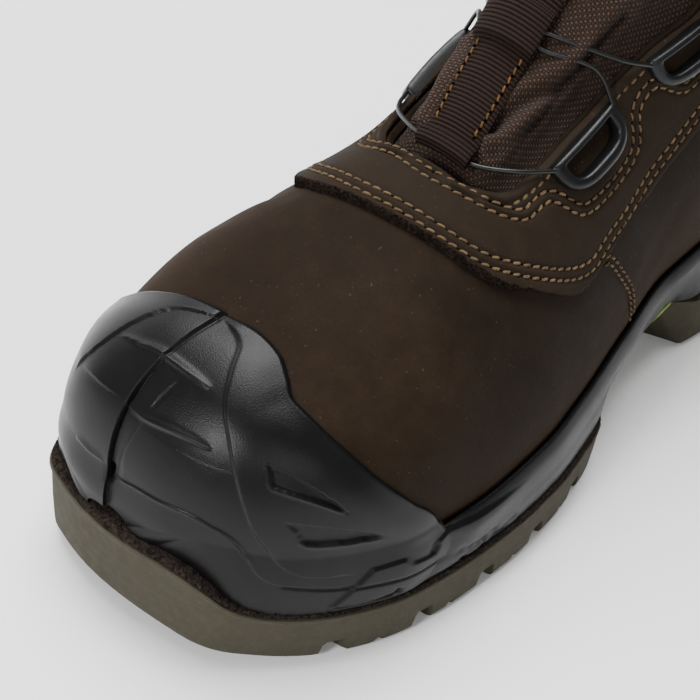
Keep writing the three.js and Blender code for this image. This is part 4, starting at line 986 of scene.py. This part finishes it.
def heel_section():
    low, high = 12.0, 14.0
    for _ in range(40):
        middle = (low + high) / 2
        point = last_point(middle, 1.0)
        low, high = (low, middle) if point[2] > line_height(point[1]) else (middle, high)
    return (low + high) / 2


def along_of(section):
    lip = on_last(section, leather_girth(section, 1), 1.6)[..., 1]
    return (lip - lip[0]) / (lip[-1] - lip[0])


def through(knots, count):
    """Points on a smooth line through knots that are arrays of the same shape."""
    knots = np.stack(knots)
    padded = np.concatenate([2 * knots[:1] - knots[1:2], knots, 2 * knots[-1:] - knots[-2:-1]])
    result = []
    for at in np.linspace(0, len(knots) - 1, count):
        i = min(int(at), len(knots) - 2)
        s = at - i
        a, b, c, d = padded[i:i + 4]
        tight = 0.35
        result.append(b + s * (c - a) * tight + s * s * (3 * (c - b) - tight * (2 * (c - a) + d - b))
                      + s ** 3 * (2 * (b - c) + tight * (c - a + d - b)))
    return np.stack(result, 1)


stations = np.linspace(0, heel_section(), 420)
along = along_of(stations)
outer = through(cup_profile(stations, along, 1), 40)
inner = through(cup_profile(stations, along, -1), 40)
outer[..., 0] += side_relief(outer) * np.where(stations > 4.6, 1, 0)[:, None]
ring = np.concatenate([outer, inner[::-1]], 0)
cup = sheet_mesh("cup_sole_band", ring, turned=True)
thicken(cup, 1.4)
paint(cup, poured)
finish_piece(cup, "black_sole", "cup_sole_toe_cover")

# A lime green insert shows in the cup's wall in front of the heel, with rounded ends.
INSERT_FRONT, INSERT_REAR, INSERT_MIDDLE, INSERT_HALF = 33, 43.5, 38.2, 5.3
wall_along = outer[:, 4, 1]
shown = (wall_along > INSERT_FRONT) & (wall_along < INSERT_REAR)
rounded = np.sqrt(np.clip(1 - ((wall_along[shown] - INSERT_MIDDLE) / INSERT_HALF) ** 2, 0.0, 1))[:, None, None]
strip = outer[shown, 4:13] + np.array([0.5, 0, 0])
centre = strip.mean(1, keepdims=True)
strip = centre + (strip - centre) * (0.25 + 0.75 * rounded)
insert = sheet_mesh("waist_insert", strip, turned=True)
thicken(insert, 0.9, bevel=0.2)
lime, tree, shader = plain_material("lime_plastic", 0.42, specular=0.4)
mottle(tree, shader, 2.5, (0.12, 0.21, 0.010), (0.20, 0.33, 0.018))
bump(tree, shader, noise(tree, place_of(tree), 0.5, 2), 0.04)
paint(insert, lime)
finish_piece(insert, "black_sole")

waist_rows = (along > 0.40) & (along < 0.76)
from_outer, from_inner = outer[waist_rows, 1], inner[waist_rows, 1]
under = np.stack([from_outer + (from_inner - from_outer) * share for share in np.linspace(0, 1, 12)], 1)
cup_floor = sheet_mesh("cup_sole_underside", under)
paint(cup_floor, poured)
finish_piece(cup_floor, "black_sole", "cup_sole_toe_cover")

# The outsole: olive rubber, pressed with slanted lugs, a heel block and a bumper that rises round
# the toe. A strip of dark fuzzy flash stays where it is bonded to the cup.
LUG_PITCH, GROOVE_WIDTH, GROOVE_DEPTH, GROOVE_SLANT, CHANNEL_WIDTH, CHANNEL_DEPTH = 23, 6, 7, 0.2, 9, 5


def outsole_stations():
    edge = SOLE_EDGE[:, 0]
    stations = [np.array([0.001, 0.004, 0.997, 1.0])]
    for a, b in zip(edge[:-1], edge[1:]):
        parts = max(2, int(np.ceil((turn_of(b) - turn_of(a)) / 0.028)))
        stations.append(np.linspace(a, b, parts, endpoint=False))
    return np.unique(np.concatenate(stations))


def outsole_level(along, side, share, inset):
    under = edge_of(along, "under") * TREAD
    rim = seam_height(along) + bumper_of(along, side) * (TREAD - 3) - 0.9
    waist = WAIST_INSET * edge_of(along, "inset")
    return plan_point(along, side, under + (rim - under) * share, waist + inset)


along = outsole_stations()
LEVELS = [
    # share of the wall's height, inset in mm
    (0.0, 14.0), (0.0, 1.9), (0.035, 0.75), (0.12, 0.1), (0.25, 0.0), (0.5, -0.1), (0.80, -0.05), (0.90, 0.12),
    (0.93, -0.25), (0.965, -0.4), (0.995, -0.2), (1.0, 0.45), (0.97, 1.0), (0.94, 3.2)]
rows = []
for share, inset in LEVELS:
    sides = [outsole_level(along, 1, share, inset), outsole_level(along, -1, share, inset)[::-1]]
    rows.append(np.concatenate(sides, 0))
ring = np.stack(rows, 0)
count = len(along)
points = ring.reshape(-1, 3)
faces = []
columns = 2 * count
for r in range(len(LEVELS) - 1):
    for c in range(columns):
        n = (c + 1) % columns
        faces.append((r * columns + c, r * columns + n, (r + 1) * columns + n, (r + 1) * columns + c))
for c in range(count - 1):
    faces.append((c, c + 1, columns - 2 - c, columns - 1 - c)[::-1])
top = (len(LEVELS) - 1) * columns
for c in range(count - 1):
    faces.append((top + c, top + c + 1, top + columns - 2 - c, top + columns - 1 - c))
outsole = bare_mesh("outsole_rubber", points, faces)


def cutter(start, end, half, depth, slope=0.8):
    """A groove's body: a prism that widens downwards so that its walls slant."""
    (x0, y0), (x1, y1) = start, end
    run = np.array([x1 - x0, y1 - y0])
    run = run / np.linalg.norm(run)
    side = np.array([-run[1], run[0]])
    points = []
    for (x, y) in ((x0, y0), (x1, y1)):
        for z, w in ((-1.0, half + slope), (depth - 1.2, half - 0.15), (depth, half - 1.0)):
            for s in (-1, 1):
                points.append((x + side[0] * s * w, y + side[1] * s * w, z))
    faces = [(2, 3, 1, 0), (4, 5, 3, 2), (7, 9, 8, 6), (9, 11, 10, 8), (6, 8, 2, 0), (8, 10, 4, 2),
             (10, 11, 5, 4), (11, 9, 3, 5), (9, 7, 1, 3), (7, 6, 0, 1)]
    return points, faces


cut_points, cut_faces = [], []


def add_cut(points, faces):
    start = len(cut_points)
    cut_points.extend(points)
    cut_faces.extend(tuple(start + v for v in f) for f in faces)


PAST_EDGE, SIPE_START, SIPE_HALF, SIPE_DEPTH = 70, 38, 1.5, 3.2
SIPE_PLACES = (-142.8, -118.9, -97.0, -70.8, -45.9, 87.5, 110.5)


def slanted(side, out, y):
    """A point of a groove's middle line, which slants back as it runs out to the side."""
    return side * out, y + out * math.tan(GROOVE_SLANT)


forefoot, heel = (0.075 - 0.5) * LAST_LENGTH, (0.75 - 0.5) * LAST_LENGTH
for first, number in ((forefoot, 5), (heel, 3)):
    for k in range(number):
        y = first + k * LUG_PITCH
        for side in (-1, 1):
            add_cut(*cutter((side * 1.5, y), slanted(side, PAST_EDGE, y), GROOVE_WIDTH / 2, GROOVE_DEPTH))
    last_groove = first + (number - 1) * LUG_PITCH
    add_cut(*cutter((0, first), (0, last_groove), CHANNEL_WIDTH / 2, CHANNEL_DEPTH))
for y in SIPE_PLACES:
    for side in (-1, 1):
        add_cut(*cutter(slanted(side, SIPE_START, y), slanted(side, PAST_EDGE, y), SIPE_HALF, SIPE_DEPTH))
grooves = bare_mesh("tread_cutter", cut_points, cut_faces)
cut = outsole.modifiers.new("grooves", "BOOLEAN")
cut.operation = "DIFFERENCE"
cut.solver = "EXACT"
cut.use_self = True
cut.object = grooves
depsgraph = bpy.context.evaluated_depsgraph_get()
carved = bpy.data.meshes.new_from_object(outsole.evaluated_get(depsgraph))
outsole.modifiers.clear()
outsole.data = carved
bpy.data.objects.remove(grooves)
carved.shade_smooth()
sharp = outsole.modifiers.new("rounded_edge", "BEVEL")
sharp.width = 0.0007
sharp.segments = 2
sharp.limit_method = "ANGLE"
sharp.angle_limit = math.radians(38)
weighted = outsole.modifiers.new("even_shading", "WEIGHTED_NORMAL")
weighted.keep_sharp = True

rubber, tree, shader = plain_material("olive_rubber", 0.8, specular=0.12)
where = place_of(tree)
clouds = noise(tree, where, 14, 5, 0.6)
base = ramp(tree, clouds, (0.25, (0.042, 0.0375, 0.0255)), (0.75, (0.048, 0.043, 0.030)))
dusty = blend_colour(tree, ramp(tree, noise(tree, where, 2.2, 5, 0.7), (0.5, 0.0), (0.8, 0.35)), base,
                     (0.078, 0.073, 0.057))
tree.links.new(dusty, shader.inputs["Base Color"])
mottle(tree, shader, 3, 0.68, 0.86, socket="Roughness")
split = tree.nodes.new("ShaderNodeSeparateXYZ")
tree.links.new(where, split.inputs[0])
TOE_LINE_PITCH, TOE_LINES_BEFORE = 0.0034, -0.1465
wave = sum_up(tree, "SINE", sum_up(tree, "MULTIPLY", split.outputs[2], math.pi / TOE_LINE_PITCH), 0)
lines = sum_up(tree, "POWER", sum_up(tree, "ABSOLUTE", wave, 0), 0.25)
at_toe = sum_up(tree, "MULTIPLY", lines, sum_up(tree, "LESS_THAN", split.outputs[1], TOE_LINES_BEFORE))
grained = sum_up(tree, "ADD", noise(tree, where, 0.8, 3), sum_up(tree, "MULTIPLY", clouds, 0.3))
bump(tree, shader, sum_up(tree, "ADD", grained, sum_up(tree, "MULTIPLY", at_toe, 0.5)), 0.16)
paint(outsole, rubber)
finish_piece(outsole, "olive_rubber", "outsole")

flash_along = np.interp(np.linspace(0, len(along) - 1, 8 * len(along)), np.arange(len(along)), along)
ragged = np.random.default_rng(4)
FLASH_PROFILE = [
    # inset and rise in mm
    (2.6, -0.6), (0.6, -0.5), (0.3, 0.1), (0.15, 0.5), (0.2, 0.9), (0.5, 1.3), (1.0, 1.6), (2.2, 1.8), (6.5, 2.0)]
flash_rows = []
for inset, rise in FLASH_PROFILE:
    sides = []
    for side in (1, -1):
        bumper = bumper_of(flash_along, side)
        waist = WAIST_INSET * edge_of(flash_along, "inset")
        rough = ragged.normal(0, 0.16, len(flash_along)) if rise > 0 else 0
        rim = seam_height(flash_along) + bumper * (TREAD - 3) - 0.9
        height = rim + rise * (0.80 + 0.05 * bumper / 0.72) + rough
        sides.append(plan_point(flash_along, side, height, waist + inset - rough * 0.8))
    flash_rows.append(np.concatenate([sides[0], sides[1][::-1]], 0))
flash = sheet_mesh("bonding_flash", np.stack(flash_rows, 0), closed=True)
fuzz, tree, shader = plain_material("flash_fuzz", 1.0, specular=0.03)
mottle(tree, shader, 0.9, (0.007, 0.0052, 0.0045), (0.052, 0.040, 0.034), (0.35, 0.7), detail=5, roughness=0.7)
bump(tree, shader, noise(tree, place_of(tree), 0.8, 5, 0.7), 0.8)
paint(flash, fuzz)
finish_piece(flash, "olive_rubber")

# The insole: a dark fabric sheet on foam, 4 mm thick, that lies in the bottom of the upper.
rows = np.linspace(0.75, 12.95, 110)
insole_rows = []
for s in np.linspace(-1, 1, 25):
    left, right = last_point(rows, -1.0), last_point(rows, 1.0)
    half = (right[:, 0] - left[:, 0]) / 2 + 1.5
    middle = (right[:, 0] + left[:, 0]) / 2
    edge = 1 - 0.35 * np.abs(s) ** 8
    insole_rows.append(np.stack([middle + s * half, right[:, 1], right[:, 2] + 2.8 + 4.0 * edge], -1))
insole = sheet_mesh("insole_sheet", np.stack(insole_rows, 1))
thicken(insole, 3.2)
fabric, tree, shader = plain_material("insole_fabric", 0.95, sheen=0.3)
mottle(tree, shader, 1.2, (0.012, 0.011, 0.011), (0.030, 0.028, 0.027))
bump(tree, shader, noise(tree, place_of(tree), 0.9, 2), 0.3)
paint(insole, fabric)
finish_piece(insole, "lining", "insole")

# The tongue: coarse brown textile over soft foam, closed at its flanks under the upper. It puffs up
# between the facing's edges and folds in slanting creases where the wire pulls it down; painted shade darkens the
# creases.
TONGUE_UNDER, TONGUE_PUFF, TONGUE_THICK, TONGUE_END = -2.95, 1.0, 6.0, 16.75
TONGUE_CREASES = [
    # knots as section and share of the throat's half width, depth in mm, half width in mm
    ([(9.29, .76), (8.94, .76), (8.58, .768), (8.03, .796)], 1.5, 1.5),
    ([(9.85, .78), (9.54, .739), (9.11, .659), (8.73, .551), (8.40, .483), (8.15, .44)], 2.8, 1.9),
    ([(10.58, .743), (10.16, .735), (9.79, .756)], 2.4, 1.8),
    ([(11.17, .812), (10.64, .844), (10.32, .816)], 2.0, 1.8),
    ([(8.9, .80), (8.5, .70), (8.1, .64), (7.8, .60)], 1.4, 1.5),
    ([(9.16, -.812), (8.71, -.764), (8.12, -.647), (7.49, -.651)], 2.4, 1.8),
    ([(10.4, -.80), (9.9, -.70), (9.3, -.66)], 1.8, 1.8),
    ([(11.9, 0.55), (12.2, 0.70), (12.3, 0.92)], 1.4, 2.6),
    ([(11.0, -0.55), (11.3, -0.70), (11.4, -0.9)], 1.6, 2.4),
    ([(13.4, 0.50), (13.8, 0.70), (13.9, 0.92)], 1.2, 3.0),
    ([(13.0, -0.5), (13.3, -0.7), (13.4, -0.92)], 1.2, 3.0),
]


def tongue_girth(section, across):
    edge = np.maximum(section, 7.3)
    return across * np.where(across > 0, throat_edge(edge, 1), -throat_edge(edge, -1))


section, across = np.meshgrid(np.linspace(6.6, TONGUE_END, 190), np.linspace(-1.35, 1.35, 130), indexing="ij")
girth = tongue_girth(section, across)
from_middle = np.abs(across)
swell = smoothstep(7.15, 7.7, section) * (1 - smoothstep(0.60, 0.96, from_middle))
puff = 1.6 * smoothstep(0.32, 0.55, from_middle) * (1 - smoothstep(0.68, 0.92, from_middle))
puff *= smoothstep(7.4, 7.9, section)
lift = TONGUE_UNDER + (TONGUE_PUFF - TONGUE_UNDER) * swell + puff * swell
fold_shade = np.zeros(section.shape)
points = on_last(section, girth, lift)
for knots, depth, half_width in TONGUE_CREASES:
    line = drawn(knots, 24)
    path = on_last(line[:, 0], tongue_girth(line[:, 0], line[:, 1]), TONGUE_PUFF)
    distance = away_from(points, path)
    lift = lift - 1.25 * depth * np.exp(-(distance / half_width) ** 2) * swell
    # painted shade weight: how much the tongue's colour is darkened along each crease
    fold_shade = np.maximum(fold_shade, np.exp(-(distance / (0.8 * half_width)) ** 2) * min(depth / 2.2, 1))
    lift = lift + 0.45 * depth * np.exp(-((distance - 2.1 * half_width) / (1.2 * half_width)) ** 2) * swell
top = on_last(section, girth, lift)
thin = smoothstep(0.9, 1.35, np.abs(across))
bottom = on_last(section, girth, TONGUE_UNDER - TONGUE_THICK + (TONGUE_THICK * 2 / 3) * thin)
shell = np.concatenate([top, bottom[:, ::-1]], 1)
tongue = sheet_mesh("tongue_pad", shell, closed=True)
rows, columns = shell.shape[:2]
half = columns // 2
caps = []
for r in (0, rows - 1):
    for c in range(half - 1):
        quad = tuple(r * columns + at for at in (c, c + 1, columns - 2 - c, columns - 1 - c))
        caps.append(quad if r else quad[::-1])
mesh = tongue.data
joined = bpy.data.meshes.new("tongue_pad")
joined.from_pydata([v.co[:] for v in mesh.vertices], [], [tuple(p.vertices) for p in mesh.polygons] + caps)
joined.shade_smooth()
tongue.data = joined


def weave_group():
    """A plain weave: over and under threads from two crossing waves, with a thread-by-thread painted glint."""
    group, entry, leave = shader_group("plain_weave", {"Along": "Float", "Across": "Float"},
                                       {"Height": "Float", "Tint": "Float"})
    sines = []
    for socket in ("Along", "Across"):
        sines.append(sum_up(group, "SINE", sum_up(group, "MULTIPLY", entry.outputs[socket], math.pi), 0))
    product = sum_up(group, "MULTIPLY", sines[0], sines[1])
    first = sum_up(group, "ABSOLUTE", sines[0], 0)
    second = sum_up(group, "ABSOLUTE", sines[1], 0)
    rounded = sum_up(group, "MULTIPLY", sum_up(group, "MULTIPLY", first, second), 0.7)
    height = sum_up(group, "ADD", rounded, sum_up(group, "MULTIPLY", product, 0.3))
    group.links.new(height, leave.inputs["Height"])
    group.links.new(sum_up(group, "ADD", sum_up(group, "MULTIPLY", product, 0.5), 0.5), leave.inputs["Tint"])
    return group


WEAVE = weave_group()


def woven_material(name, dark, light, depth, sheen):
    """Cloth whose thread counts the mesh carries as two smooth values."""
    material, tree, shader = plain_material(name, 0.88, sheen=sheen, specular=0.10)
    node = tree.nodes.new("ShaderNodeGroup")
    node.node_tree = WEAVE
    where = place_of(tree)
    wobble = sum_up(tree, "MULTIPLY", noise(tree, where, 3.0, 2), 0.5)
    tree.links.new(sum_up(tree, "ADD", weight_of(tree, "threads_along"), wobble), node.inputs["Along"])
    tree.links.new(sum_up(tree, "ADD", weight_of(tree, "threads_across"), wobble), node.inputs["Across"])
    # painted shade: the colour is darkened by up to 65% along the tongue's creases
    shaded = sum_up(tree, "SUBTRACT", 1.0, sum_up(tree, "MULTIPLY", weight_of(tree, "fold_shade"), 0.65))
    cloudy = ramp(tree, noise(tree, where, 9, 4), (0.3, tuple(c * 0.8 for c in light)), (0.7, light))
    # painted shade: the cloth is painted dark where the weave's height is low, between the threads
    shade = blend_colour(tree, ramp(tree, node.outputs["Height"], (0.16, 0.0), (0.50, 1.0)), dark, cloudy)
    # painted highlight: alternate threads are lightened as a glint
    glint = blend_colour(tree, sum_up(tree, "MULTIPLY", node.outputs["Tint"], 0.35), shade,
                         tuple(min(c * 1.6, 1) for c in light))
    tree.links.new(blend_colour(tree, shaded, dark, glint), shader.inputs["Base Color"])
    bump(tree, shader, node.outputs["Height"], depth)
    return material


def give_threads(piece, along_values, across_values):
    give_weight(piece, "threads_along", along_values)
    give_weight(piece, "threads_across", across_values)


THREAD = 0.9
give_weight(tongue, "fold_shade", np.concatenate([fold_shade, fold_shade[:, ::-1]], 1))
smooth_top = on_last(section, girth, TONGUE_PUFF * np.ones(section.shape))
MIDDLE_COLUMN = 65
run_along = np.repeat(run_lengths(smooth_top, 0)[:, [MIDDLE_COLUMN]], section.shape[1], 1) / THREAD
run_across = run_lengths(smooth_top, 1)
run_across = (run_across - run_across[:, [MIDDLE_COLUMN]]) / THREAD
give_threads(tongue, *(np.concatenate([run, run[:, ::-1]], 1) for run in (run_along, run_across)))
paint(tongue, woven_material("tongue_textile", (0.0035, 0.0020, 0.0014), (0.056, 0.0335, 0.0235), 0.6, 0.03))
finish_piece(tongue, "textile", "tongue")

# The webbing: a dark ribbed strip sewn down the tongue's middle. It arches over the wire in two
# loops, and a sewn panel between them carries a box of tan stitches.
WEBBING_ROWS = np.array([
    # section, share of the loop's height
    [7.15, 0], [7.22, 1], [7.50, 1], [7.62, 0], [8.40, 0], [9.05, 0], [9.20, 1], [9.75, 1], [9.95, 0], [11.0, 0],
    [12.0, 0], [13.5, 0], [15.0, 0]])
WEBBING_WIDTH, WEBBING_SHIFT, WEBBING_THICK, WEBBING_LEVEL, WEBBING_ARCH = 15, 1.2, 1.8, 1.6, 2.5


def girth_at(section, width):
    """Girth share where the last lies a width from its ridge."""
    section, width = np.broadcast_arrays(np.asarray(section, float), np.asarray(width, float))
    side = np.sign(width)
    low, high = np.zeros(section.shape), np.full(section.shape, WIDEST)
    ridge = last_point(section, np.zeros(section.shape))[..., 0]
    for _ in range(30):
        middle = (low + high) / 2
        past = side * (last_point(section, side * middle)[..., 0] - ridge) > np.abs(width)
        low, high = np.where(past, low, middle), np.where(past, middle, high)
    return side * (low + high) / 2


section, across = np.meshgrid(np.linspace(7.15, 15.0, 420), np.linspace(-0.5, 0.5, 24), indexing="ij")
girth = girth_at(section, WEBBING_SHIFT + across * WEBBING_WIDTH)
rise = curve(WEBBING_ROWS[:, 0], WEBBING_ROWS[:, 1], section)
lift = WEBBING_LEVEL + WEBBING_ARCH * rise + WEBBING_THICK - 0.4 * np.abs(2 * across) ** 6
points = on_last(section, girth, lift)
webbing = sheet_mesh("tongue_webbing_strip", points)
length = run_lengths(points, 0)[:, [12]]
give_threads(webbing, np.repeat(length / 1.25, 24, 1), across * WEBBING_WIDTH / 0.8)
thicken(webbing, WEBBING_THICK - 0.2, bevel=0.3)
ribbed, tree, shader = plain_material("ribbed_webbing", 0.75, specular=0.08)
waves = []
for count in ("threads_along", "threads_across"):
    swing = sum_up(tree, "SINE", sum_up(tree, "MULTIPLY", weight_of(tree, count), math.pi), 0)
    waves.append(sum_up(tree, "ABSOLUTE", swing, 0))
# painted shade: the colour is darkest in the ribs' grooves and lightest on their crests, following the bump
tree.links.new(ramp(tree, waves[0], (0.12, (0.0025, 0.0015, 0.0012)), (0.75, (0.0165, 0.0088, 0.0062))),
               shader.inputs["Base Color"])
bump(tree, shader, sum_up(tree, "ADD", waves[0], sum_up(tree, "MULTIPLY", waves[1], 0.15)), 0.55)
paint(webbing, ribbed)
finish_piece(webbing, "webbing", "tongue_webbing")
# the sewn box, open at its foot, as section and width in mm
BOX_SEAM = [(7.74, -4.6), (8.4, -5.0), (9.14, -4.6), (9.24, 1.5), (9.26, 7.3), (8.4, 6.9), (7.62, 6.4)]
runs = []
for (s0, w0), (s1, w1) in zip(BOX_SEAM[:-1], BOX_SEAM[1:]):
    s, w = np.linspace(s0, s1, 40), np.linspace(w0, w1, 40)
    g = girth_at(s, w)
    runs.append((last_point(s, g), last_normal(s, g)))
WEBBING_TOP = WEBBING_LEVEL + WEBBING_THICK
stitches("webbing_stitches", runs, WEBBING_TOP + 0.25, WEBBING_TOP, pitch=2.9, thick=0.31,
         material=thread_material("orange_thread", (0.15, 0.075, 0.024)))

# The wire guides: glossy black plastic bows, sewn into the facing, two on each side. Each is a
# half ring with a straight inner bar, and the wire runs through the bow.
GUIDE_LENGTH, GUIDE_DEPTH, GUIDE_BAR, GUIDE_HEIGHT = 28, 12.5, 3.0, 3.4
GUIDE_PLACES = {"lower": (9.0, 0.278), "upper": (11.15, 0.352)}
plastic, tree, shader = plain_material("guide_plastic", 0.34, coat=0.04, coat_roughness=0.15, specular=0.22)
mottle(tree, shader, 6, (0.0035, 0.0037, 0.0042), (0.0050, 0.0053, 0.0060))
mottle(tree, shader, 2, 0.30, 0.46, socket="Roughness")
bump(tree, shader, noise(tree, place_of(tree), 0.5, 2), 0.02)


def guide_frame(section, girth, side):
    origin = on_last(section, side * girth, 2.8)
    out = last_normal(section, side * girth)
    slope = throat_edge(section + 0.4, 1) - throat_edge(section - 0.4, 1)
    run = last_point(section + 0.4, side * (girth + slope / 2))
    run -= last_point(section - 0.4, side * (girth - slope / 2))
    run -= out * (run @ out)
    run /= np.linalg.norm(run)
    away = np.cross(out, run) * -side
    return origin, run, away / np.linalg.norm(away), out


def guide_loop(outer):
    """The bow's outline: a flat side along the throat and a D-shaped bow away from it."""
    half, depth, start = (GUIDE_LENGTH / 2, GUIDE_DEPTH, 0.0) if outer else (
        GUIDE_LENGTH / 2 - 1.45 * GUIDE_BAR, GUIDE_DEPTH - 2.05 * GUIDE_BAR, 0.8 * GUIDE_BAR)
    a = np.linspace(0, np.pi, 49)
    squareness = 0.68 if outer else 0.50
    bow_run = half * np.sign(np.cos(a)) * np.abs(np.cos(a)) ** squareness
    bow = np.stack([bow_run, start + depth * np.sin(a) ** squareness], 1)
    flat = np.stack([np.linspace(-half, half, 18)[1:-1], np.full(16, start)], 1)
    return np.vstack([bow, flat])


GUIDE_PROFILE = [
    # share from the outer to the inner outline, height in mm
    (0.0, -1.2), (0.0, 1.6), (0.05, 2.5), (0.16, 3.0), (0.30, 3.2), (0.45, 3.4), (0.74, 3.4), (0.90, 3.0),
    (1.0, 2.0), (1.0, -1.2)]
GUIDES = {}
for place_name, (section_at, girth_share) in GUIDE_PLACES.items():
    for side_name, side in (("outer", 1), ("inner", -1)):
        origin, run, away, out = guide_frame(section_at, girth_share, side)
        GUIDES[place_name, side_name] = (origin, run, away, out)
        outer_line, inner_line = guide_loop(True), guide_loop(False)
        grid = np.zeros((len(GUIDE_PROFILE), len(outer_line), 3))
        for p, (share, height) in enumerate(GUIDE_PROFILE):
            flat_line = outer_line + (inner_line - outer_line) * share
            base = np.array([origin + run * q[0] + away * q[1] for q in flat_line])
            drop = 0.0042 * flat_line[:, 0] ** 2
            grid[p] = base + out * height - np.outer(drop, out)
        piece = sheet_mesh(f"{place_name}_{side_name}_guide_bow", grid, closed=True)
        if side > 0:
            piece.data.flip_normals()
        soft = piece.modifiers.new("soft_edges", "SUBSURF")
        soft.levels = soft.render_levels = 1
        paint(piece, plastic)
        finish_piece(piece, "guide_plastic", f"{place_name}_{side_name}_guide")

# The lace: thin black coated wire. It runs in each guide's bow, spans the tongue under the lower
# loop of the webbing, crosses itself in the upper loop and stops at the top guides.
WIRE = 1.3
WIRE_LEVEL, WIRE_EDGE = 1.0 + 0.9 + WIRE / 2, 2.2 + 0.9 + WIRE / 2
coated, tree, shader = plain_material("coated_wire", 0.35, coat=0.1, coat_roughness=0.2, specular=0.3)
mottle(tree, shader, 4, (0.0028, 0.003, 0.003), (0.0045, 0.005, 0.005))
bump(tree, shader, noise(tree, place_of(tree), 0.5, 2), 0.04)


def tube(name, path, radius):
    """A round thread along a path. Its ends are open, and lie inside the guides."""
    path = np.asarray(path)
    run = np.gradient(path, axis=0)
    run /= np.linalg.norm(run, axis=1, keepdims=True)
    up = np.array([0, 0, 1.0])
    side = np.cross(run, up)
    side /= np.maximum(np.linalg.norm(side, axis=1, keepdims=True), 1e-6)
    over = np.cross(side, run)
    angles = np.linspace(0, 2 * np.pi, 12, endpoint=False)
    aside = np.cos(angles)[None, :, None] * side[:, None]
    above = np.sin(angles)[None, :, None] * over[:, None]
    return sheet_mesh(name, path[:, None] + radius * (aside + above), closed=True, turned=True)


def in_guide(key, run_by, away_by, out_by):
    origin, run, away, out = GUIDES[key]
    return origin + run * run_by + away * away_by + out * out_by


def on_width(section, width, offset):
    return on_last(section, girth_at(section, WEBBING_SHIFT + width), offset)


reach = GUIDE_LENGTH / 2 + 0.3 + WIRE / 2
side_out = WEBBING_WIDTH / 2 + 1
lower_path = drawn([
    in_guide(("lower", "outer"), -reach + 2, GUIDE_BAR / 2, GUIDE_HEIGHT / 2),
    on_last(7.85, 0.19, WIRE_EDGE), on_width(7.38, side_out, WIRE_LEVEL + 0.2),
    on_width(7.36, 0.5, WIRE_LEVEL),
    on_width(7.38, -side_out, WIRE_LEVEL + 0.2), on_last(7.85, -0.205, WIRE_EDGE),
    in_guide(("lower", "inner"), -reach + 2, GUIDE_BAR / 2, GUIDE_HEIGHT / 2)], 90, 0.5)
wire = tube("lace_lower_wire", lower_path, WIRE / 2)
paint(wire, coated)
finish_piece(wire, "wire", "lace_lower_span")
for name, start_side, end_side, a in (("outer", "outer", "inner", 1), ("inner", "inner", "outer", -1)):
    path = drawn([
        in_guide(("lower", start_side), reach - 2, GUIDE_BAR / 2, GUIDE_HEIGHT / 2),
        on_last(9.74, a * 0.24, WIRE_EDGE),
        on_width(9.37, a * side_out, WIRE_LEVEL + 0.6), on_width(9.49, 0, WIRE_LEVEL),
        on_width(9.61, -a * side_out, WIRE_LEVEL + 0.6), on_last(10.1, -a * 0.27, WIRE_EDGE),
        in_guide(("upper", end_side), -reach + 2, GUIDE_BAR / 2, GUIDE_HEIGHT / 2)], 90, 0.5)
    wire = tube(f"lace_cross_wire_{name}", path, WIRE / 2)
    paint(wire, coated)
    finish_piece(wire, "wire", "lace_cross")
